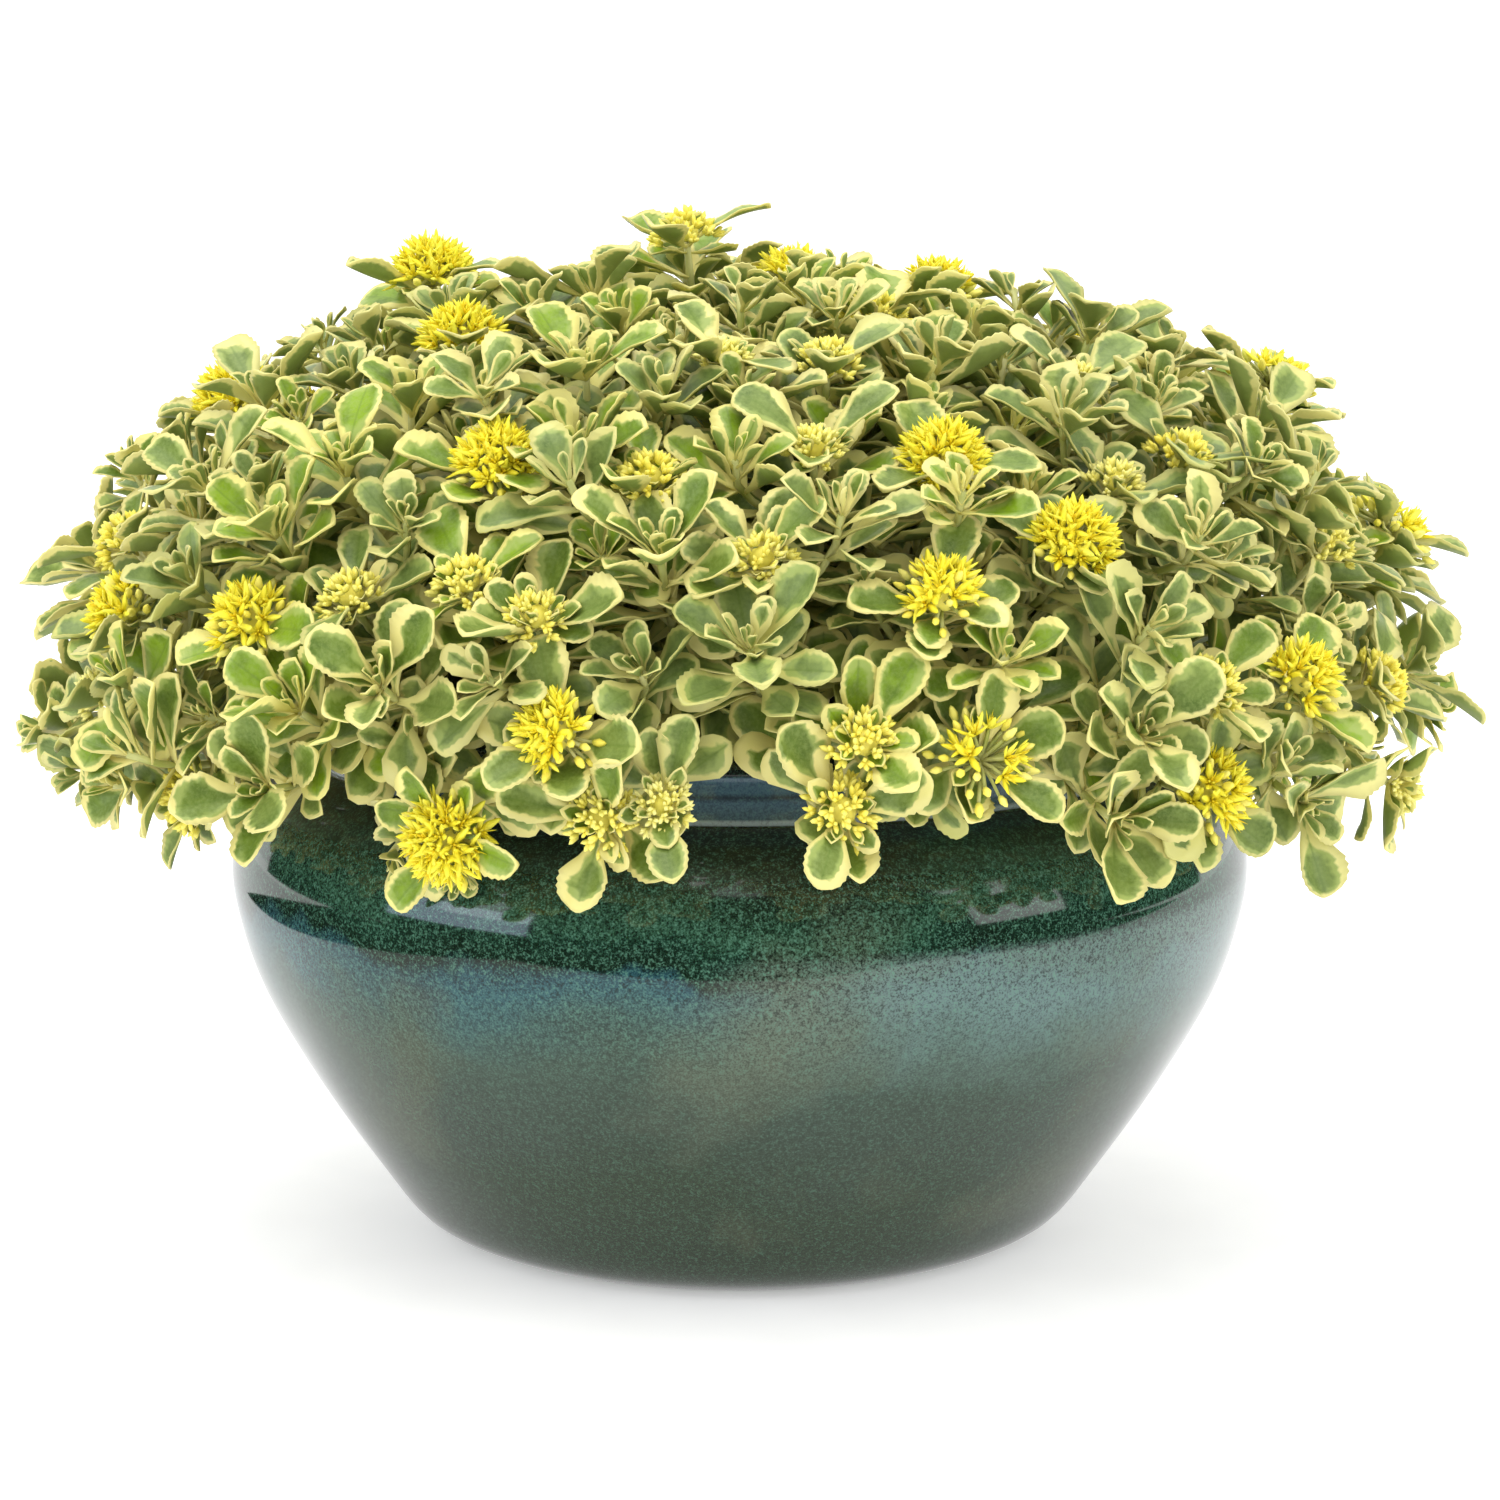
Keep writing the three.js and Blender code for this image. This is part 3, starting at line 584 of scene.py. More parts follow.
def grow_stalk(bm, places, radii, turns, material):
    """A round stalk: a ring drawn out from place to place, and closed at both ends."""
    heading = (places[1] - places[0]).normalized()
    stand = Matrix.Translation(places[0]) @ heading.to_track_quat("Z", "Y").to_matrix().to_4x4()
    ring = bmesh.ops.create_circle(bm, segments=turns, radius=1, cap_ends=True)["verts"]
    cap = ring[0].link_faces[0]
    made = [cap]
    bmesh.ops.transform(bm, matrix=stand @ Matrix.Scale(radii[0], 4), verts=ring)
    here = places[0]
    for i in range(1, len(places)):
        onward = places[min(i + 1, len(places) - 1)] - places[i - 1]
        onward.normalize()
        drawn = bmesh.ops.extrude_face_region(bm, geom=[cap], use_keep_orig=i == 1)["geom"]
        verts = [item for item in drawn if isinstance(item, bmesh.types.BMVert)]
        cap = next(item for item in drawn if isinstance(item, bmesh.types.BMFace))
        turn = heading.rotation_difference(onward).to_matrix().to_4x4()
        size = Matrix.Scale(radii[i] / radii[i - 1], 4)
        move = Matrix.Translation(places[i]) @ turn @ size @ Matrix.Translation(-here)
        bmesh.ops.transform(bm, matrix=move, verts=verts)
        for vert in verts:
            made.extend(vert.link_faces)
        heading, here = onward, places[i]
    for face in made:
        if face.is_valid:
            face.material_index = material
            face.smooth = True


FINE = [blade_shape(FINE_OUTLINE, 4, form) for form in GROWN_BLADES]
PLAIN = [blade_shape(PLAIN_OUTLINE, 2, form) for form in GROWN_BLADES]
YOUNG = [blade_shape(LIGHT_OUTLINE, 2, form) for form in YOUNG_BLADES]
LIGHT = [blade_shape(LIGHT_OUTLINE, 2, form) for form in GROWN_BLADES]
BUD_SHAPE = spindle_shape("bud", 4, 3, 0.24, 0.24, 0, BUD)
FULL_BUD_SHAPE = spindle_shape("full_bud", 6, 4, 0.25, 0.25, 0, BUD)
PETAL_SHAPE = spindle_shape("petal", 4, 4, 0.08, 0.165, 0.14, PETAL)
HEART_SHAPE = spindle_shape("heart", 8, 5, 0.6, 0.6, 0, BUD)
STAMEN_SHAPE = spindle_shape("stamen", 3, 3, 0.05, 0.05, 0, CARPEL)
CARPEL_SHAPE = spindle_shape("carpel", 4, 3, 0.13, 0.13, 0, CARPEL)

# Small leaves about the heads and in the leafy tips: distance below the tip, lean, turn, length and how
# many. Length is a share of the leaves of the solids
TIP_RINGS = {
    "leaf": [(2, 46, 30, 0.64, 3), (1, 31, 0, 0.47, 3), (0, 15, 40, 0.3, 3)],
    "bud": [(1, 58, 28, 0.5, 3), (3, 72, 62, 0.66, 2)],
    "open": [(2, 72, 28, 0.5, 3), (4, 80, 70, 0.66, 2)],
    "side": [(6, 66, 0, 0.9, 3), (3.5, 53, 60, 0.72, 3), (1.5, 36, 20, 0.5, 3), (0, 17, 50, 0.32, 2)],
    "inner": [(3, 70, 0, 1.0, 3), (0, 44, 60, 0.9, 3)],
}
# Whorls farther down: distance below the tip, lean, how many leaves and their length, and the share of the
# line below its tip past which there are none
BEARING_WHORLS = [(16, 76, 3, 0.92), (24, 80, 3, 0.98), (34, 84, 2, 1.0), (46, 88, 2, 0.95)]
LOWER_WHORLS = {"side": [(12, 74, 3, 0.94), (21, 80, 2, 0.95)], "inner": [(12, 82, 3, 1.0)]}
LOWEST_WHORL = 0.62
# Play of a ring and of a whorl: in turn as a share of the gap, in lean, then the least length and what is
# added to it, and the play in age. Leaves shorter than a share of the others are drawn young
RING_PLAY = (0.3, 16, 0.85, 0.3, 0.2)
WHORL_PLAY = (0.4, 24, 0.8, 0.25, 0.3)
YOUNG_BELOW = 0.6


def outside_of_pot(height):
    """The radius of the pot at a height."""
    if height > BELLY[-1][1]:
        return LIP_RADIUS
    for (r0, z0), (r1, z1) in zip(BELLY, BELLY[1:]):
        if height <= z1:
            return r0 + (r1 - r0) * max(0, height - z0) / (z1 - z0)


def in_pot(p):
    """Whether a place is in the wall of the pot or in the soil, or against them."""
    out = hypot(p.x, p.y)
    if p.z > POT_HEIGHT + OFF_RIM:
        return False
    if out < COLLAR_RADIUS - WALL - OFF_RIM:
        return p.z < SOIL_HEIGHT + SOIL_RISE
    return out < outside_of_pot(p.z) + OFF_WALL


def below_front_edge(p, spare=0):
    """Whether the eye sees a place of the front below the edge of the foliage."""
    if p.y > 0:
        return p.z < LOWEST_BEHIND
    eye = eye_place()
    seen = eye + (p - eye) * (eye.y / (eye.y - p.y))
    for (x0, z0), (x1, z1) in zip(FRONT_EDGE, FRONT_EDGE[1:]):
        if x0 <= seen.x <= x1:
            return seen.z < z0 + (z1 - z0) * (seen.x - x0) / (x1 - x0) + spare
    return False


def swung(axes, lowered, aside, roll):
    """Axes that are lowered, swung sideways and rolled about the first of them."""
    turn = Matrix.Identity(3)
    for angle, axis in ((roll, axes[0]), (lowered, axes[1]), (aside, axes[2])):
        turn = turn @ Matrix.Rotation(radians(angle), 3, axis)
    return [turn @ axis for axis in axes]


class Room:
    """The leaves and heads that are in place, so that an added leaf is swung clear of them or left out.

    They are kept by the cubes of space that their middles are in. A leaf stands as its plate, and a head as
    eight flat faces.
    """

    CELL = 30
    PLATE_FACES = [(i, i + 1, i + 4, i + 3) for i in (0, 1, 3, 4, 6, 7)]
    HEAD_CORNERS = [Vector(p) for p in ((1, 0, 0), (0, 1, 0), (-1, 0, 0), (0, -1, 0), (0, 0, 1), (0, 0, -1))]
    HEAD_FACES = [(i, (i + 1) % 4, top) for i in range(4) for top in (4, 5)]

    def __init__(self):
        self.cells = {}

    def cell(self, place):
        return tuple(int(part // self.CELL) for part in place)

    def solid(self, corners, faces):
        middle = sum(corners, Vector()) / len(corners)
        reach = max((corner - middle).length for corner in corners)
        return BVHTree.FromPolygons(corners, faces, epsilon=PLATE_NEAR), middle, reach

    def leaf(self, plate, matrix):
        return self.solid([matrix @ corner for corner in plate], self.PLATE_FACES)

    def head(self, place, radius):
        return self.solid([place + corner * radius for corner in self.HEAD_CORNERS], self.HEAD_FACES)

    def take(self, solid):
        self.cells.setdefault(self.cell(solid[1]), []).append(solid)

    def free(self, solid, own):
        tree, middle, reach = solid
        x, y, z = self.cell(middle)
        around = [(x + i, y + j, z + k) for i in (-1, 0, 1) for j in (-1, 0, 1) for k in (-1, 0, 1)]
        for cell in around:
            for other in self.cells.get(cell, ()):
                near = (other[1] - middle).length < reach + other[2]
                if other is not own and near and tree.overlap(other[0]):
                    return False
        return True


room = Room()


def add_leaf(bm, blades, shoot, root, axes, length, age, draw):
    """A leaf that the shoot adds to those of the solids, unless the pot or another leaf is in its way."""
    shape, plate = blades[int(draw() * len(blades))]
    roll = LEAF_ROLL * (draw() - 0.5)
    for lowered, aside in LEAF_SWINGS:
        swing = swung(axes, lowered, aside, roll)
        places = [root + swing[0] * (length * share) for share in LEAF_PROBES]
        too_far = crown_share(places[-1]) > LEAF_FURTHEST
        if any(in_pot(place) for place in places) or too_far or below_front_edge(places[-1]):
            continue
        matrix = placed(root, swing, length)
        solid = room.leaf(plate, matrix)
        if room.free(solid, shoot.head):
            room.take(solid)
            add_copy(bm, shape, matrix, age)
            return


def add_ring(bm, blades, shoot, below, turn, lean, count, size, age, play, draw):
    """A ring of leaves round a shoot, below its tip, each a little off its turn, lean, length and age."""
    turn_play, lean_play, least, more, age_play = play
    axis = shoot_axis(shoot, shoot.line, below)
    root = shoot.line.at(1 - below / shoot.line.length)
    for i in range(count):
        way = shoot.spin + turn + (i + turn_play * (draw() - 0.5)) * 360 / count
        axes = leaning_axes(axis, shoot.side, way, lean * shoot.opening**0.5 + lean_play * (draw() - 0.5))
        length = size * (least + more * draw())
        add_leaf(bm, blades, shoot, root, axes, length, age + age_play * (draw() - 0.5), draw)


def leafy_tip(bm, shoot, draw):
    """The small leaves round the tip of a shoot and the whorls below those of the solids."""
    kind, tone = shoot.kind, shoot.tone
    grown = 0.72 + 0.36 * draw() if kind == "side" else 1
    lax = 1 + 1.1 * draw() ** 2 if kind in LOWER_WHORLS else 1
    for below, lean, turn, share, count in TIP_RINGS[kind]:
        blades = YOUNG if share < YOUNG_BELOW else LIGHT if kind == "inner" else PLAIN
        size, age = shoot.leaf * share * grown, tone + 0.3 * (share - YOUNG_BELOW)
        add_ring(bm, blades, shoot, below * lax, turn, lean, count, size, age, RING_PLAY, draw)
    for k, (below, lean, count, share) in enumerate(LOWER_WHORLS.get(kind, BEARING_WHORLS)):
        if below * lax <= LOWEST_WHORL * shoot.line.length:
            size, turn = shoot.leaf * share * grown, SPIRAL_TURN * (k + 1)
            add_ring(bm, LIGHT, shoot, below * lax, turn, lean, count, size, tone + 0.15, WHORL_PLAY, draw)


def solid_leaves(bm, shoot, line, grown, draw):
    """The leaves that the solid has, bent as its own are."""
    for below, turn, lean, bearing in WHORLS:
        low = line.at(max(0, 1 - (below + WHORL_TALL) / line.length))
        high = line.at(max(0, 1 - below / line.length))
        root = (low + high) / 2
        axis = shoot_axis(shoot, line, below + WHORL_TALL)
        for i in range(3 if shoot.kind == "leaf" else bearing):
            size = shoot.leaf * (LEAF_LEAST + LEAF_VARIES * shoot.draw())
            for raised, aside, shorten in LEAF_BENDS:
                way = shoot.spin + turn + i * 120 + aside
                axes = leaning_axes(axis, shoot.side, way, lean * shoot.opening + raised)
                length = size * shorten
                if grown.away(root + axes[0] * length) > SAME_PLACE:
                    continue
                shape, plate = FINE[int(draw() * len(FINE))]
                age = shoot.tone + 0.1 + 0.25 * (draw() - 0.5)
                matrix = placed(root, swung(axes, 0, 0, BLADE_ROLL * (draw() - 0.5)), length)
                room.take(room.leaf(plate, matrix))
                add_copy(bm, shape, matrix, age)
                break


# Heads of flowers stand over a dome: the play of its places in turn and lean, how far its edge sags as a
# share of its radius, and the age that colours the heart beneath
TURN_PLAY = 20
LEAN_PLAY = 22
DOME_SAG = 0.2
HEART_AGE = 0.7
# Closed heads: tufts, buds of a tuft and small leaves, then the heart, the dome's radius and its height,
# each as the least and what ripeness adds, and the lean of the outermost tufts
TUFTS, TUFT_BUDS, TUFT_LEAVES = 26, 4, 6
CLOSED_HEART, CLOSED_RADIUS, CLOSED_TOP = (5.4, 1.4), (6.4, 1.8), (4.2, 1)
CLOSED_LEAN = 66
TUFT_STAND = 1.5
# Stars: petals and carpels, then how stamens and carpels lean, and their length as a share of a petal's
PETALS, CARPELS = 5, 3
STAMEN_LEAN, STAMEN_SHARE = 26, 0.85
CARPEL_LEAN, CARPEL_SHARE = 14, 0.6


def stood(place, axes, length):
    """Where a spindle stands on a place, drawn out along the first of its axes."""
    along, across, face = (axis * length for axis in axes)
    return Matrix.Translation(place) @ Matrix((across, face, along)).transposed().to_4x4()


def dome_places(shoot, count, hollow, radius, top, spread, draw):
    """Places over a dome on the tip of a shoot, each with the axes of what stands there."""
    for k in range(count):
        out = sqrt(hollow + (1 - hollow) * (k + 0.5) / count)
        turn = shoot.spin + k * SPIRAL_TURN + TURN_PLAY * (draw() - 0.5)
        level = leaning_axes(shoot.facing, shoot.side, turn, 90)[0]
        rise = top * (1 - out * out) - DOME_SAG * radius * out * out
        axes = leaning_axes(shoot.facing, shoot.side, turn, spread * out + LEAN_PLAY * (draw() - 0.5))
        yield shoot.tip + level * (radius * out) + shoot.facing * rise, axes


def add_heart(bm, shoot, length):
    """The crowded young buds in the middle of a head, which are too many to tell apart."""
    axes = (shoot.facing, shoot.side, shoot.facing.cross(shoot.side))
    add_copy(bm, HEART_SHAPE, stood(shoot.tip, axes, length), HEART_AGE)


def bud_head(bm, shoot, draw):
    """A closed head: a dome of tufts of plump buds among small leaves, wider and yellower when riper."""
    ripe = draw()
    heart, radius, top = (least + more * ripe for least, more in (CLOSED_HEART, CLOSED_RADIUS, CLOSED_TOP))
    add_heart(bm, shoot, heart)
    for place, axes in dome_places(shoot, TUFTS, 0, radius, top, CLOSED_LEAN, draw):
        place += shoot.facing * TUFT_STAND
        ripeness = 0.6 * ripe + 0.3 * draw()
        for i in range(TUFT_BUDS):
            bud_axes = leaning_axes(axes[0], axes[1], 360 / TUFT_BUDS * i + 70 * draw(), 12 + 26 * draw())
            length = 2.7 + 0.9 * ripe + 1.1 * draw()
            add_copy(bm, BUD_SHAPE, stood(place, bud_axes, length), ripeness + 0.1 * draw())
    for i in range(TUFT_LEAVES):
        turn = shoot.spin + 360 / TUFT_LEAVES * i + 30 * draw()
        axes = leaning_axes(shoot.facing, shoot.side, turn, 30 + 36 * draw())
        root = shoot.tip + axes[0] * TUFT_STAND
        add_copy(bm, YOUNG[i % len(YOUNG)][0], placed(root, axes, 7 + 3 * draw()), shoot.tone)


def star_flower(bm, place, axes, size, draw):
    """A five-petalled star, half open, with its stamens and carpels standing in the middle."""
    axis, side = axes[0], axes[1]
    apart = 360 / PETALS
    spin = apart * draw()
    for i in range(PETALS):
        petal_axes = leaning_axes(axis, side, spin + apart * i + 10 * (draw() - 0.5), 38 + 34 * draw())
        add_copy(bm, PETAL_SHAPE, stood(place, petal_axes, size * (0.9 + 0.2 * draw())), draw())
    for shape, count, turn, lean, share in (
        (STAMEN_SHAPE, PETALS, apart / 2, STAMEN_LEAN, STAMEN_SHARE),
        (CARPEL_SHAPE, CARPELS, 0, CARPEL_LEAN, CARPEL_SHARE),
    ):
        for i in range(count):
            inner_axes = leaning_axes(axis, side, spin + turn + 360 / count * i, lean)
            add_copy(bm, shape, stood(place, inner_axes, size * share), draw())


# Open heads: stars, full buds, how far the middle is hollow, and the radius and height of the dome
FULL_HEAD = (30, 5, 0, 10, 7.4)
HALF_HEAD = (14, 22, 0, 10.3, 6.4)
LOOSE_HEAD = (7, 22, 0.12, 12.2, 4)
FULL_HEADS = {0, 1, 2, 3, 6, 11, 12, 19, 21}
LOOSE_HEADS = {10, 14, 16, 20}
OPEN_HEART = 8
OPEN_LEAN = 74
OPEN_STAND = 3
STALK_START = 0.4
STALK_RADII = [0.7, 0.6, 0.5]
STALK_TURNS = 4


def open_head(shoot, number, name):
    """An open head: a dome of stars and full buds, on stalks that part at the tip of the shoot."""
    draw = drawer(HEAD_SEED + number)
    stars, buds, hollow, radius, top = HALF_HEAD
    if number in FULL_HEADS:
        stars, buds, hollow, radius, top = FULL_HEAD
    if number in LOOSE_HEADS:
        stars, buds, hollow, radius, top = LOOSE_HEAD
    bm = new_shape()
    if not hollow:
        add_heart(bm, shoot, OPEN_HEART)
    spots = list(dome_places(shoot, stars + buds, hollow, radius, top, OPEN_LEAN, draw))
    spots.sort(key=lambda spot: (spot[0] - shoot.tip).length + 3 * draw() * (stars < buds))
    for k, (place, axes) in enumerate(spots):
        place += shoot.facing * OPEN_STAND
        middle = shoot.tip.lerp(place, 0.5) + shoot.facing
        low = shoot.tip + shoot.facing * STALK_START
        grow_stalk(bm, [low, middle, place], STALK_RADII, STALK_TURNS, STALK)
        if k < stars:
            star_flower(bm, place, axes, 5.6 + 0.9 * draw(), draw)
        else:
            add_copy(bm, FULL_BUD_SHAPE, stood(place, axes, 4 + 1.2 * draw()), 0.4 + 0.5 * draw())
    return piece(bm, name, [petal, fresh_stalk, bud, carpel])


def in_scene(name, data):
    """A new object of the scene that shows a mesh, a lamp or a camera."""
    made = bpy.data.objects.new(name, data)
    bpy.context.collection.objects.link(made)
    return made


def piece(bm, name, materials):
    """A finished piece in metres, on the one body of the part."""
    bmesh.ops.scale(bm, vec=(MM, MM, MM), verts=bm.verts[:])
    made = in_scene(name, mesh_of(bm, name, materials))
    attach(made, "root")
    return made


# Materials


def linear(colour):
    """An sRGB hex colour as linear red, green and blue."""
    parts = [int(colour[i : i + 2], 16) / 255 for i in (1, 3, 5)]
    return [p / 12.92 if p <= 0.04045 else ((p + 0.055) / 1.055) ** 2.4 for p in parts] + [1]


def fixed(value):
    """A fixed input as its socket takes it, with a colour written as sRGB hex."""
    return linear(value) if isinstance(value, str) else value


def cells(size):
    """The scale of a noise whose grain has a real size in millimetres."""
    return round(1 / (size * MM))


# Nodes whose used output isn't their first, and where a Mix takes its share and its two colours
USED_OUTPUTS = {"TexCoord": "Object", "Attribute": "Fac", "Mix": 2}
MIX_INPUTS = (0, 6, 7)


def node(material, kind, inputs=(), stops=(), output=None, **settings):
    """Adds a node with its settings, its linked or fixed inputs and its stops, and gives its output.

    Inputs go in by name or, from a list, in the order of the node: a MapRange takes a value, the span that it
    comes from and the span that it goes to. A Mix mixes colours unless its settings say otherwise.
    """
    tree = material.node_tree
    made = tree.nodes.new("ShaderNode" + kind)
    if kind == "Mix":
        made.data_type = "RGBA"
    for name, value in settings.items():
        setattr(made, name, value)
    if not isinstance(inputs, dict):
        inputs = dict(zip(MIX_INPUTS if kind == "Mix" else range(len(inputs)), inputs))
    for key, value in inputs.items():
        if isinstance(value, bpy.types.NodeSocket):
            tree.links.new(value, made.inputs[key])
        else:
            made.inputs[key].default_value = fixed(value)
    if stops:
        elements = made.color_ramp.elements
        while len(elements) < len(stops):
            elements.new(1)
        for element, (position, colour) in zip(elements, stops):
            element.position = position
            element.color = linear(colour)
    return made.outputs[USED_OUTPUTS.get(kind, 0) if output is None else output]


def surface(name, **inputs):
    """A new material, with the fixed inputs of its shader."""
    material = bpy.data.materials.new(name)
    material.use_nodes = True
    shader = material.node_tree.nodes["Principled BSDF"]
    for key, value in inputs.items():
        shader.inputs[key.replace("_", " ").title().replace("Ior", "IOR")].default_value = fixed(value)
    return material, shader


def link(output, shader, *names):
    """Links an output to the named inputs of a shader."""
    for name in names:
        shader.id_data.links.new(output, shader.inputs[name])


# Stonecrop leaf: thick and waxy, so it takes a soft sheen, with a chlorophyll-free cream margin of uneven
# width, a paler veil inside it, and a grey-green or, while it is young, lime middle that is duller beneath
leaf, shader = surface("waxy_variegated_leaf", roughness=0.4, ior=1.45)
where = node(leaf, "TexCoord")
edge, rib, under, age = (node(leaf, "Attribute", attribute_name=name) for name in SHAPE_LAYERS)
drift = node(leaf, "TexNoise", {"Vector": where, "Scale": cells(11.8), "Detail": 1})
jag = node(leaf, "TexNoise", {"Vector": where, "Scale": cells(1.923), "Detail": 2})
broad = node(leaf, "MapRange", [drift, 0.5, 0.74, 0.04, 0.16])
ragged = node(leaf, "MapRange", [jag, 0, 1, -0.022, 0.022])
width = node(leaf, "Math", [broad, ragged], operation="ADD")
inside = node(leaf, "Math", [edge, width], operation="SUBTRACT")
middle = node(leaf, "MapRange", [inside, -0.008, 0.018])
green = node(leaf, "ValToRGB", [age], [(0, "#8CAC0E"), (0.3, "#6E8E18"), (0.6, "#6C8032"), (1, "#7C9052")])
# The cream darkens to olive toward the old end: the tone of old leaves, and painted shade on the inner shoots
# deep in the foliage, which all take that end
cream = node(leaf, "ValToRGB", [age], [(0, "#E8E084"), (0.5, "#E8DE8C"), (0.75, "#DCD688"), (1, "#C6C672")])
blotch = node(leaf, "TexNoise", {"Vector": where, "Scale": cells(7.7), "Detail": 3, "Roughness": 0.6})
deep = node(leaf, "MapRange", [blotch, 0.46, 0.7, 0, 0.65])
shaded = node(leaf, "Mix", [deep, green, "#3E5A0E"])
mottle = node(leaf, "TexNoise", {"Vector": where, "Scale": cells(1), "Detail": 3, "Roughness": 0.65})
pale = node(leaf, "MapRange", [mottle, 0.38, 0.68, 0, 0.4])
powdery = node(leaf, "Mix", [pale, shaded, "#90A458"])
streak = node(leaf, "MapRange", [blotch, 0.3, 0.7, -0.07, 0.07])
within = node(leaf, "Math", [inside, streak], operation="ADD")
veil = node(leaf, "MapRange", [within, 0.02, 0.07, 0.7, 0])
veiled = node(leaf, "Mix", [veil, powdery, "#A6B662"])
vein = node(leaf, "MapRange", [rib, 0, 0.02, 0.4, 0])
veined = node(leaf, "Mix", [vein, veiled, "#5C7826"])
dull = node(leaf, "Math", [under, 0.7], operation="MULTIPLY")
centre = node(leaf, "Mix", [dull, veined, "#8A9A54"])
link(node(leaf, "Mix", [middle, cream, centre]), shader, "Base Color")
link(node(leaf, "Bump", {"Strength": 0.25, "Distance": 0.0002, "Height": mottle}), shader, "Normal")

# Young stalk: smooth, juicy pale green, yellower in places
fresh_stalk, shader = surface("fresh_stalk", roughness=0.45, ior=1.42)
where = node(fresh_stalk, "TexCoord")
patches = node(fresh_stalk, "TexNoise", {"Vector": where, "Scale": cells(11.1), "Detail": 2})
link(node(fresh_stalk, "ValToRGB", [patches], [(0.35, "#A4AC56"), (0.65, "#D2D08E")]), shader, "Base Color")


def blossom(name, ior, ripening, root, rooted):
    """A part of a flower that ripens from colour to colour, with another colour over a span from its root."""
    material, shader = surface(name, roughness=0.5, ior=ior)
    age, share = (node(material, "Attribute", attribute_name=layer) for layer in ("age", "edge"))
    ripe = node(material, "ValToRGB", [age], ripening)
    near_root = node(material, "MapRange", [share, *rooted])
    link(node(material, "Mix", [near_root, ripe, root]), shader, "Base Color")
    return material


# Closed bud: firm and waxy, pale green at its root and cream to yellow where the petals show
ripening = [(0, "#FAF4A0"), (0.5, "#FCF27C"), (1, "#FBEA4A")]
bud = blossom("closed_bud", 1.42, ripening, "#D2D870", (0.1, 0.5, 0.6, 0))

# Petal: thin and satiny, clear yellow, deeper towards its root
ripening = [(0, "#FFF858"), (0.5, "#FEF444"), (1, "#FBEB34")]
petal = blossom("satin_petal", 1.4, ripening, "#F6E836", (0, 0.5, 0.5, 0))

# Stamens and carpels: the fine threads and small horns in the middle of a star, deeper yellow as they ripen
carpel, shader = surface("ripening_carpel", roughness=0.5, ior=1.42)
age = node(carpel, "Attribute", attribute_name="age")
ripening = [(0, "#FCF04C"), (0.6, "#F8E62A"), (1, "#F2D01A")]
link(node(carpel, "ValToRGB", [age], ripening), shader, "Base Color")

# Reactive stoneware glaze: thick and glassy, near-black green on the shoulder, blue-grey round the belly
# and olive toward the foot, with brown clouds where it broke thin and a fine grain of pale and dark
# crystals. Heights and places on the pot are in metres here, as the Object coordinates are
glaze, shader = surface(
    "reactive_stoneware_glaze", roughness=0.08, ior=1.52, coat_weight=0.4, coat_roughness=0.04
)
where = node(glaze, "TexCoord")
clouds = node(glaze, "TexNoise", {"Vector": where, "Scale": cells(77), "Detail": 4, "Roughness": 0.6})
height = node(glaze, "SeparateXYZ", [where], output="Z")
rightward = node(glaze, "SeparateXYZ", [where], output="X")

# The bands from foot to collar, which the clouds shift up and down
shift = node(glaze, "MapRange", [clouds, 0, 1, -0.03, 0.03])
level = node(glaze, "Math", [height, shift], operation="ADD")
band = node(glaze, "MapRange", [level, 0, 0.153])
body_bands = [
    (0.06, "#293724"), (0.22, "#2B3A26"), (0.33, "#334134"), (0.41, "#37463A"), (0.48, "#3B4E42"),
    (0.55, "#38544F"), (0.61, "#2F575E"), (0.635, "#2A4E58"), (0.66, "#16291E"), (0.71, "#1D3B2D"),
    (0.74, "#30523F"), (0.8, "#26402F"), (0.87, "#232B1E"),
]
body = node(glaze, "ValToRGB", [band], body_bands)

# Painted light: the belly is paler on its right side
painted_light_rightward = node(glaze, "MapRange", [rightward, -0.01, 0.036, 0, 0.7])
belly_high = node(glaze, "MapRange", [level, 0.066, 0.092])
belly_low = node(glaze, "MapRange", [height, 0.1015, 0.105, 1, 0])
belly = node(glaze, "Math", [belly_high, belly_low], operation="MULTIPLY")
painted_light_on_belly = node(glaze, "Math", [painted_light_rightward, belly], operation="MULTIPLY")
uneven = node(glaze, "Mix", [painted_light_on_belly, body, "#6E8480"])

# Brown clouds low down, and one slanted patch of the front where the glaze is thin
drifting = {"Vector": where, "Scale": cells(59), "Detail": 3, "Roughness": 0.55, "Distortion": 0.6}
drifts = node(glaze, "TexNoise", drifting)
low_down = node(glaze, "MapRange", [height, 0.09, 0.1, 0.5, 0])
thin = node(glaze, "MapRange", [drifts, 0.54, 0.7])
thinned = node(glaze, "Math", [thin, low_down], operation="MULTIPLY")
clouded = node(glaze, "Mix", [thinned, uneven, "#50563F"])
patch = [where, (0.008, -0.138, 0.082), (0, radians(-44), 0), (0.055, 0.05, 0.024)]
pool = node(glaze, "Mapping", patch, vector_type="TEXTURE")
wander = node(glaze, "TexNoise", {"Vector": where, "Scale": cells(16.7), "Detail": 3}, output="Color")
strayed = node(glaze, "VectorMath", [pool, wander], operation="ADD")
centred = node(glaze, "VectorMath", [strayed, (0.5, 0.5, 0.5)], operation="SUBTRACT")
near = node(glaze, "TexGradient", [centred], output="Fac", gradient_type="SPHERICAL")
bare = node(glaze, "MapRange", [near, 0, 0.8, 0, 0.75])
patched = node(glaze, "Mix", [bare, clouded, "#5A6250"])
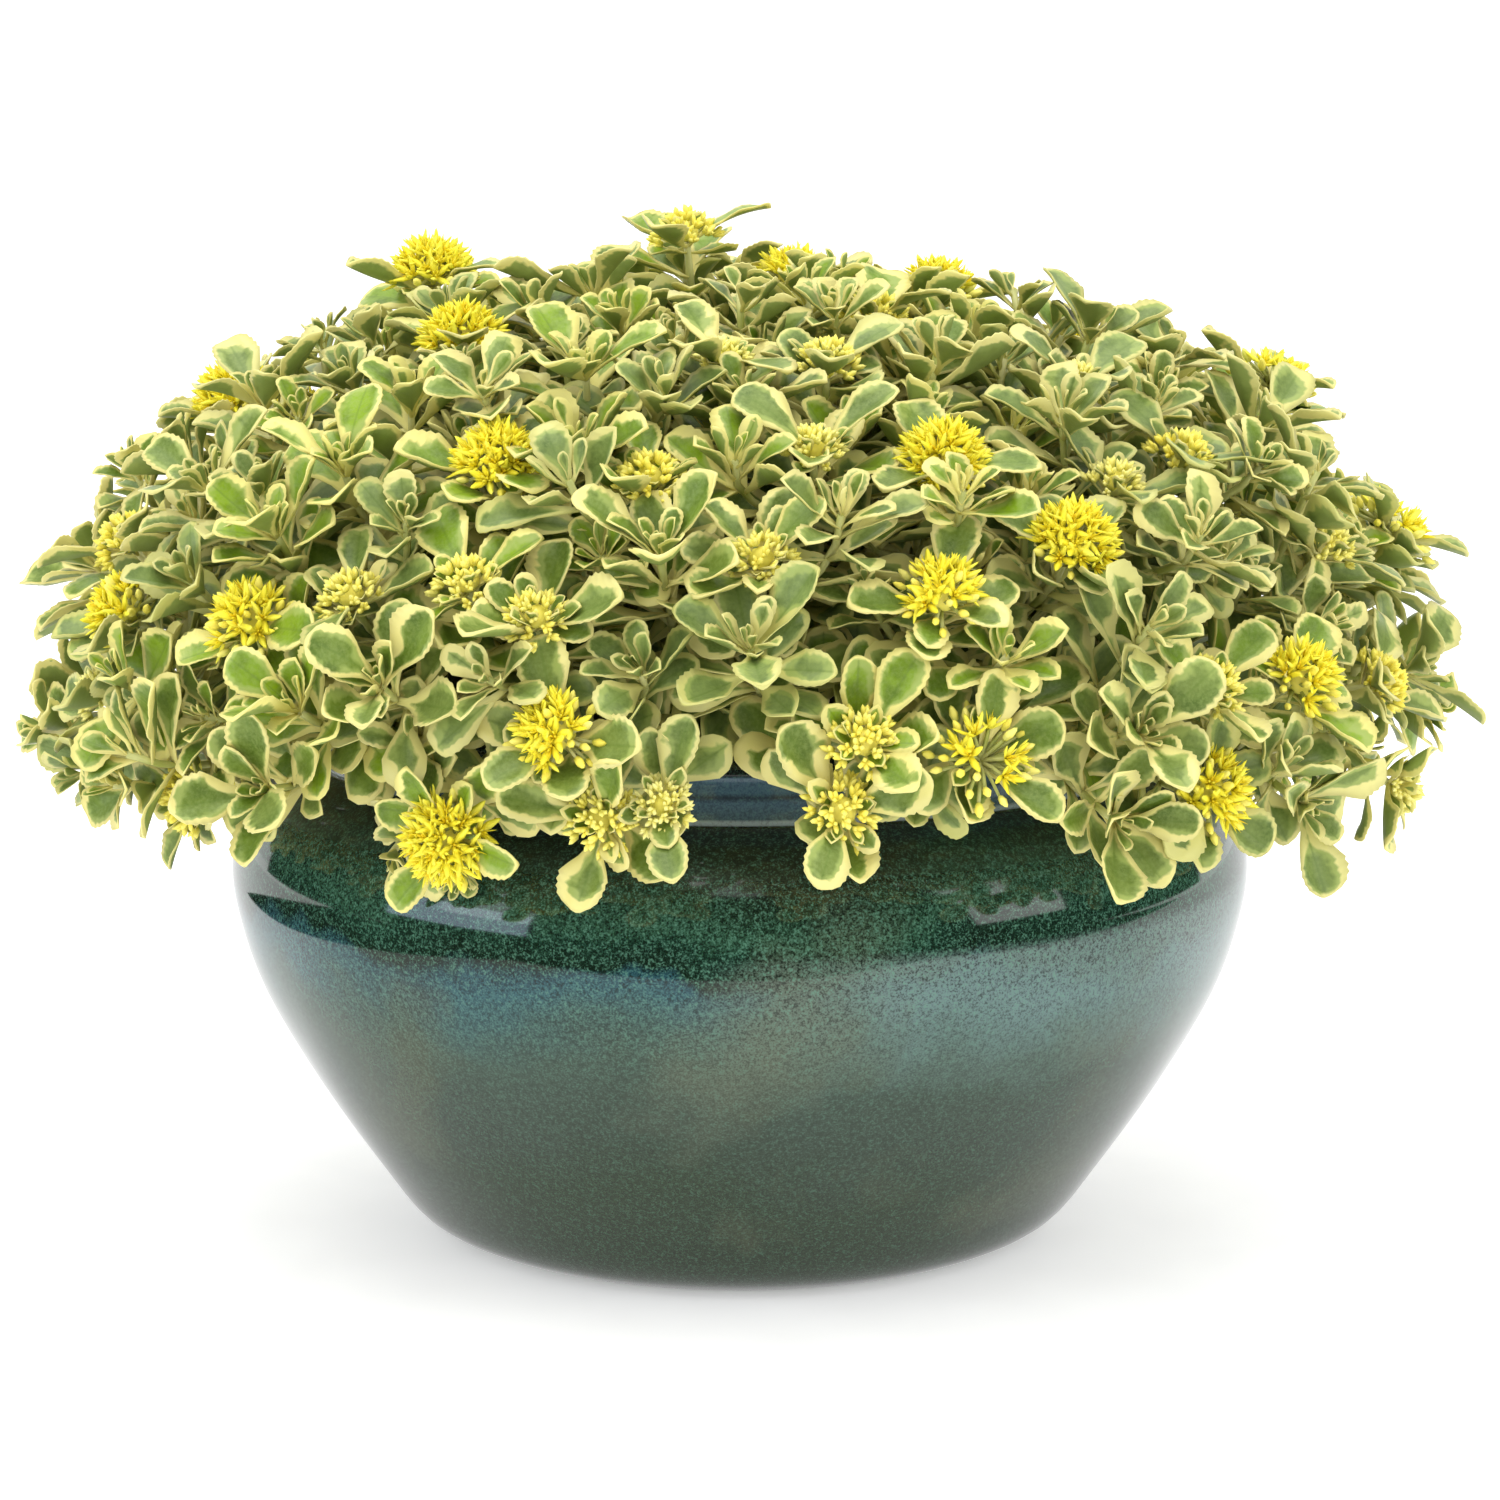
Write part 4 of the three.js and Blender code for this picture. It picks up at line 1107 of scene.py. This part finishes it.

# The collar: blue-grey glaze with a darker line across it, a painted highlight as the pale line over the bead
# at its root, and painted shade of the leaves above as the near-black lip
on_collar = node(glaze, "MapRange", [height, 0.1336, 0.1342])
up_collar = node(glaze, "MapRange", [height, 0.134, 0.1525])
collar_bands_painted_highlight_and_shade = [
    (0, "#20281F"), (0.03, "#84908C"), (0.08, "#84908C"), (0.11, "#45575C"), (0.34, "#445A66"),
    (0.42, "#303A44"), (0.48, "#46606E"), (0.68, "#4A6272"), (0.74, "#1A211A"), (1, "#1B241B"),
]
collar_glaze_and_painted_light = node(glaze, "ValToRGB", [up_collar], collar_bands_painted_highlight_and_shade)
banded = node(glaze, "Mix", [on_collar, patched, collar_glaze_and_painted_light])

# Crystals, dark and pale, closer together toward the shoulder and fewer on the collar
coarse = node(glaze, "TexNoise", {"Vector": where, "Scale": cells(1.176), "Detail": 3, "Roughness": 0.7})
fine = node(glaze, "TexNoise", {"Vector": where, "Scale": cells(0.5263), "Detail": 2, "Roughness": 0.6})
grains = node(glaze, "Math", [coarse, fine], operation="MULTIPLY")
grainier = node(glaze, "MapRange", [height, 0.07, 0.1, 0.4, 1])
dark_part = node(glaze, "MapRange", [grains, 0.16, 0.25, 0.85, 0])
pale_part = node(glaze, "MapRange", [grains, 0.25, 0.38, 0, 0.65])
calm = node(glaze, "MapRange", [on_collar, 0, 1, 1, 0.35])
amount = node(glaze, "Math", [grainier, calm], operation="MULTIPLY")
dark_grains = node(glaze, "Math", [dark_part, amount], operation="MULTIPLY")
pale_grains = node(glaze, "Math", [pale_part, amount], operation="MULTIPLY")
darker = node(glaze, "Mix", [dark_grains, banded, "#0F1B12"])
link(node(glaze, "Mix", [pale_grains, darker, "#5E8E78"]), shader, "Base Color")

# The shoulder is duller than the belly and the collar, and all of it ripples a little
shoulder = node(glaze, "MapRange", [height, 0.117, 0.125, 0.08, 0.34])
sleek = node(glaze, "Mix", {0: on_collar, 2: shoulder, 3: 0.12}, output=0, data_type="FLOAT")
link(sleek, shader, "Roughness")
swell = node(glaze, "TexNoise", {"Vector": where, "Scale": cells(26), "Detail": 1})
ripple = node(glaze, "Bump", {"Strength": 0.05, "Distance": 0.001, "Height": swell})
link(ripple, shader, "Normal", "Coat Normal")

# Unglazed stoneware: the bare biscuit under the foot, dry and sandy
biscuit, shader = surface("unglazed_stoneware", roughness=0.85)
where = node(biscuit, "TexCoord")
grog = node(biscuit, "TexNoise", {"Vector": where, "Scale": cells(1.428), "Detail": 3})
link(node(biscuit, "ValToRGB", [grog], [(0.35, "#8A6F56"), (0.65, "#B49A7C")]), shader, "Base Color")

# Potting soil: moist peat and bark, dark and dull with paler crumbs
earth, shader = surface("moist_potting_soil", roughness=0.9)
where = node(earth, "TexCoord")
crumb = node(earth, "TexNoise", {"Vector": where, "Scale": cells(2.63), "Detail": 4, "Roughness": 0.7})
peat = node(earth, "ValToRGB", [crumb], [(0.3, "#17100B"), (0.55, "#33251A"), (0.75, "#5A4632")])
link(peat, shader, "Base Color")
link(node(earth, "Bump", {"Strength": 0.8, "Distance": 0.001, "Height": crumb}), shader, "Normal")


# Pot and soil


def through(points, steps):
    """Places along a smooth line through points, as a spline that leans on its neighbours."""
    last = len(points) - 1
    for i in range(steps + 1):
        reach = i / steps * last
        k = min(int(reach), last - 1)
        w = reach - k
        p0, p1, p2, p3 = (Vector(points[min(max(k + d, 0), last)]) for d in (-1, 0, 1, 2))
        v0, v1 = (p2 - p0) / 2, (p3 - p1) / 2
        yield (2 * p1 - 2 * p2 + v0 + v1) * w**3 + (-3 * p1 + 3 * p2 - 2 * v0 - v1) * w * w + v0 * w + p1


def lathe(outline, turns):
    """A closed solid turned about the Z axis from an outline that starts and ends on it."""
    bm = bmesh.new()
    verts = [bm.verts.new((radius, 0, height)) for radius, height in outline]
    edges = [bm.edges.new(pair) for pair in zip(verts, verts[1:])]
    bmesh.ops.spin(
        bm, geom=verts + edges, cent=Vector(), axis=UP, angle=2 * pi, steps=turns, use_merge=True,
        use_duplicate=False,
    )
    bmesh.ops.remove_doubles(bm, verts=bm.verts[:], dist=SAME_CORNER)
    bmesh.ops.recalc_face_normals(bm, faces=bm.faces[:])
    for face in bm.faces:
        face.smooth = True
    return bm


def pot_outline():
    """The outline of the pot: its foot, belly, collar and rolled lip, then the wall inside and the floor."""
    outline = [(0, 0)] + [tuple(p) for p in through(BELLY, BELLY_STEPS)]
    outline += [(COLLAR_RADIUS + stand, height) for stand, height in COLLAR]
    outline += [(COLLAR_RADIUS + LIP_ROOT_STAND, LIP_ROOT_HEIGHT), (LIP_RADIUS - LIP_EDGE, LIP_ROOT_HEIGHT)]
    middle = LIP_RADIUS - LIP_WIDTH / 2
    low = LIP_ROOT_HEIGHT + LIP_STRAIGHT
    for i in range(LIP_STEPS + 1):
        turn = pi * i / LIP_STEPS
        outline.append((middle + LIP_WIDTH / 2 * cos(turn), low + (POT_HEIGHT - low) * sin(turn)))
    outline.append((COLLAR_RADIUS - WALL, COLLAR_FOOT))
    outline += [(radius - WALL, height) for radius, height in reversed(HOLLOW)]
    outline += [(FOOT_RADIUS, FLOOR), (0, FLOOR)]
    return outline


bm = lathe(pot_outline(), POT_TURNS)
for face in bm.faces:
    under_foot = max(v.co.z for v in face.verts) < BARE_BELOW
    face.material_index = 1 if under_foot else 0
glazed_pot = piece(bm, "glazed_pot", [glaze, biscuit])
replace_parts(glazed_pot, "pot")

# The soil fills the pot to its surface, which rises a little toward the middle
inner = COLLAR_RADIUS - WALL - SOIL_EDGE_GAP
outline = [(0, FLOOR + SOIL_EDGE_GAP), (FOOT_RADIUS - SOIL_EDGE_GAP, FLOOR + SOIL_EDGE_GAP)]
outline += [(radius - WALL - SOIL_EDGE_GAP, height) for radius, height in HOLLOW]
outline.append((inner, COLLAR_FOOT))
for i in range(SOIL_RINGS):
    share = 1 - i / SOIL_RINGS
    outline.append((inner * share, SOIL_HEIGHT + SOIL_RISE * (1 - share * share)))
outline.append((0, SOIL_HEIGHT + SOIL_RISE))
bm = lathe(outline, SOIL_TURNS)
for v in bm.verts:
    if v.co.z > SOIL_HEIGHT - 1 and hypot(v.co.x, v.co.y) < inner - 1:
        v.co.z += sum(rise * noise.noise(v.co * often) for rise, often in LUMPS)
draw = drawer(CRUMB_SEED)
for _ in range(CRUMBS):
    out, turn = (inner - CRUMBS_OFF_WALL) * sqrt(draw()), 2 * pi * draw()
    ground = SOIL_HEIGHT + SOIL_RISE * (1 - (out / inner) ** 2)
    place = Vector((out * cos(turn), out * sin(turn), ground + CRUMB_STAND))
    chip = bmesh.ops.create_icosphere(bm, subdivisions=1, radius=1)["verts"]
    size = Matrix.Diagonal([least + more * draw() for least, more in CRUMB_SIZES] + [1])
    move = Matrix.Translation(place) @ Matrix.Rotation(pi * draw(), 4, UP) @ size
    bmesh.ops.transform(bm, matrix=move, verts=chip)
potting_soil = piece(bm, "potting_soil", [earth])
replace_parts(potting_soil, "soil")


# The plant


def side_line(parent, shoot):
    """The line of a side shoot from the shoot that bears it."""
    below = SIDE_BELOW_MORE * (shoot.tip - parent.tip).length + SIDE_BELOW
    share = 1 - min(SIDE_BELOW_SHARE, below / parent.line.length)
    start = parent.line.at(share)
    pull = SIDE_PULL * (shoot.tip - start).length
    return Line(start, start + parent.line.along(share) * pull, shoot.tip - shoot.facing * pull, shoot.tip)


def side_shoots(shoots):
    """The side shoots, each borne by the shoot whose tip is nearest to its own."""
    tips = [shoot.tip for shoot in shoots]
    made = []
    for kind, places, gap, deepest, shallowest, lowest_front, lowest_behind in SIDE_LAYERS:
        draw = drawer(LAYER_SEED + len(made))
        for i in range(places):
            height = SIDE_TOP - SIDE_FALL * (i + 0.5) / places
            depth = deepest + (shallowest - deepest) * draw()
            tip = crown_toward(i * SPIRAL_TURN + SIDE_FIRST_TURN, height, depth)
            lowest = lowest_front if tip.y < 0 else lowest_behind
            crowded = any((other - tip).length < gap for other in tips)
            if tip.z < lowest or crowded or below_front_edge(tip, SIDE_OFF_EDGE):
                continue
            tips.append(tip)
            shoot = Shoot(kind, tip, SIDE_SEED + len(made))
            parent = min(shoots, key=lambda other: (other.tip - tip).length)
            shoot.line = side_line(parent, shoot)
            parent.sides.append(shoot)
            made.append(shoot)
    return made


def tone_of(draw):
    """The age that colours the leaves of a shoot: lime, green or grey-green."""
    pick = draw()
    if pick < 0.27:
        return 0.12 * draw()
    return 0.3 + 0.25 * draw() if pick < 0.62 else 0.55 + 0.3 * draw()


shoots = all_shoots()
stems = stems_of(shoots)
names = ["leafy_stem_%02d" % (i + 1) for i in range(len(stems))]
for stem, name in zip(stems, names):
    stem.grown = Grown(name)
    for shoot in stem.shoots:
        lines = [shoot_line(stem, shoot, *bend) for bend in STEM_BENDS]
        bare = BARE_SHARES[shoot.hang > 0]
        shoot.line = min(lines, key=lambda line: round(abs(stem.grown.away(line.at(bare)) - STEM_RADIUS), 2))
        shoot.sides = []
sides = side_shoots(shoots)
for shoot in shoots + sides:
    added = shoot.kind in LOWER_WHORLS
    shoot.tone = tone_of(shoot.draw if added else drawer(TONE_SEED + shoots.index(shoot)))
    # The inner shoots, deep in the foliage, take the old end of the ramps, whose olive cream is painted shade
    # there
    if shoot.kind == "inner":
        shoot.tone = 0.6 + 0.3 * shoot.tone

for stem in stems:
    stem.bm = bm = new_shape()
    low = Vector((stem.foot.x, stem.foot.y, SOIL_HEIGHT - STEM_FOOT_DEPTH / 2))
    for shoot in stem.shoots:
        places = [low] + [shoot.line.at(i / STEM_STEPS) for i in range(STEM_STEPS + 1)]
        fall = (STEM_RADIUS - STEM_RADIUS_AT_TIP) / STEM_STEPS
        radii = [STEM_FOOT_RADIUS * 0.7] + [STEM_RADIUS - fall * i for i in range(STEM_STEPS + 1)]
        grow_stalk(bm, places, radii, STEM_TURNS, STALK)
        for side in shoot.sides:
            places = [side.line.at(i / SIDE_STEPS) for i in range(SIDE_STEPS + 1)]
            grow_stalk(bm, places, [SIDE_RADIUS] * len(places), SIDE_TURNS, STALK)

# The leaves of the solids are placed first, and the others find their room beside them
for number, stem in enumerate(stems):
    stem.draw = drawer(STEM_SEED + number)
    for shoot in stem.shoots:
        if shoot.kind != "leaf":
            shoot.head = room.head(shoot.tip + shoot.facing * HEAD_RISE, HEAD_ROOM[shoot.kind])
            room.take(shoot.head)
        solid_leaves(stem.bm, shoot, shoot.line, stem.grown, stem.draw)
for stem in stems:
    for shoot in stem.shoots:
        leafy_tip(stem.bm, shoot, stem.draw)
for kind in LOWER_WHORLS:
    for stem in stems:
        for side in [side for shoot in stem.shoots for side in shoot.sides if side.kind == kind]:
            leafy_tip(stem.bm, side, stem.draw)
for stem, name in zip(stems, names):
    for shoot in [shoot for shoot in stem.shoots if shoot.kind == "bud"]:
        bud_head(stem.bm, shoot, stem.draw)
    made = piece(stem.bm, "stonecrop_" + name, [leaf, fresh_stalk, bud])
    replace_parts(made, name)

opened = [shoot for stem in stems for shoot in stem.shoots if shoot.kind == "open"]
opened.sort(key=shoots.index)
for i, shoot in enumerate(opened):
    name = "flower_head_%02d" % (i + 1)
    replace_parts(open_head(shoot, i, "stonecrop_" + name), name)


# Stage, in metres: a lit white table, a wide soft light above, and cards that only the glaze mirrors

paper, shader = surface("white_paper", roughness=0.9, emission_strength=0.38)
where = node(paper, "TexCoord")
fibre = node(paper, "TexNoise", {"Vector": where, "Scale": cells(25), "Detail": 2})
white = node(paper, "ValToRGB", [fibre], [(0.3, "#F2F2F2"), (0.7, "#F6F6F6")])
link(white, shader, "Base Color", "Emission Color")
dark, shader = surface("black_cloth", roughness=1, base_color="#0A0B0C", specular_ior_level=0)
window, shader = surface("blue_window_light", roughness=1, emission_color="#93B4E0", emission_strength=2.2)

# The table as the glaze mirrors it: brighter behind than in front, and in the shade of the pot beneath it
table, shader = surface(
    "lit_table_mirrored", roughness=1, base_color="#000000", specular_ior_level=0, emission_color="#FFFFFF"
)
where = node(table, "TexCoord")
beside = node(table, "SeparateXYZ", [where], output="Y")
lit = node(table, "MapRange", [beside, -0.08, 0.06, 0.66, 1.1])
apart = node(table, "VectorMath", [where], output="Value", operation="LENGTH")
open_part = node(table, "MapRange", [apart, 0.1, 0.19, 0.7, 1])
link(node(table, "Math", [lit, open_part], operation="MULTIPLY"), shader, "Emission Strength")


def board(name, width, depth, place, turn, material, mirrored_only=True):
    """A flat board of the stage, turned about X and then Z."""
    bm = bmesh.new()
    bmesh.ops.create_grid(bm, x_segments=1, y_segments=1, size=0.5)
    around = Matrix.Rotation(radians(turn[1]), 4, "Z") @ Matrix.Rotation(radians(turn[0]), 4, "X")
    size = Matrix.Diagonal((width, depth, 1, 1))
    bmesh.ops.transform(bm, matrix=Matrix.Translation(place) @ around @ size, verts=bm.verts[:])
    made = in_scene(name, mesh_of(bm, name, [material]))
    if mirrored_only:
        made.visible_camera = False
        made.visible_diffuse = False
        made.visible_shadow = False
        made.visible_transmission = False


# The dark floor cards lie over the bright one, so the glaze mirrors a small table in a dark room
CARD_DEPTH = 2.4
CARD_HEIGHT = 0.001
board("floor", 30, 30, (0, 0, 0), (0, 0), paper, mirrored_only=False)
board("near_table_card", 3, 3, (0, 0, CARD_HEIGHT / 2), (0, 0), table)
board("left_floor_card", 2, 1.8, (-1.385, -0.55, CARD_HEIGHT), (0, 0), dark)
board("front_floor_card", 2.5, CARD_DEPTH, (-1.17, -0.39 - CARD_DEPTH / 2, CARD_HEIGHT), (0, 0), dark)
for name, corner, aim, start, width in (
    ("front", (0.08, -0.39), -23, 0, 2.6),
    ("right", (0.45, -0.55), 47.7, -1, 2.5),
):
    onward, outward = radians(aim), radians(aim - 90)
    x = corner[0] + (start + width / 2) * cos(onward) + CARD_DEPTH / 2 * cos(outward)
    y = corner[1] + (start + width / 2) * sin(onward) + CARD_DEPTH / 2 * sin(outward)
    board("%s_right_floor_card" % name, width, CARD_DEPTH, (x, y, CARD_HEIGHT), (0, aim), dark)


def wall_card(name, width, height, distance, middle, azimuth, material):
    """A card that stands round the pot at an azimuth and faces it."""
    turn = radians(azimuth)
    place = (-distance * sin(turn), -distance * cos(turn), middle)
    board(name, width, height, place, (90, -azimuth), material)


for k, azimuth in enumerate((-98, -60, -20, 20, 63, 105)):
    wall_card("dark_card_%d" % k, 2.1, 2.6, 2.4, 1.3, azimuth, dark)
wall_card("window_card", 1.5, 0.56, 2.3, 0.52, 64, window)


def aimed(made, place, onward):
    """Puts a lamp or a camera at a place, looking onward."""
    made.location = place
    made.rotation_mode = "QUATERNION"
    made.rotation_quaternion = onward.to_track_quat("-Z", "Y")


def lamp(name, size, place, aim, power, colour):
    """A soft light of a size in metres and a power in watts, aimed at a place."""
    data = bpy.data.lights.new(name, "AREA")
    data.shape = "RECTANGLE"
    data.size, data.size_y = size
    data.energy = power
    data.color = linear(colour)[:3]
    aimed(in_scene(name, data), place, Vector(aim) - Vector(place))


lamp("top_softbox", (1.6, 1.6), (-0.3, -0.3, 1.9), (0, 0, 0.1), 18, "#FFFDF8")
lamp("left_softbox", (0.9, 1.2), (-1.7, -1.1, 1.1), (0, 0, 0.15), 5, "#F4F8FF")
lamp("right_softbox", (0.9, 1.2), (1.8, -0.9, 1.0), (0, 0, 0.15), 7, "#FFFFFF")

world = bpy.data.worlds.new("bright_room")
world.use_nodes = True
world.node_tree.nodes["Background"].inputs["Color"].default_value = linear("#FFFFFF")
world.node_tree.nodes["Background"].inputs["Strength"].default_value = 1.08
bpy.context.scene.world = world
bpy.context.scene.view_settings.view_transform = "Standard"

camera = in_scene("camera", bpy.data.cameras.new("camera"))
camera.data.lens = LENS
camera.data.sensor_width = SENSOR
aimed(camera, eye_place() * MM, EYE_AIM - eye_place())
bpy.context.scene.camera = camera
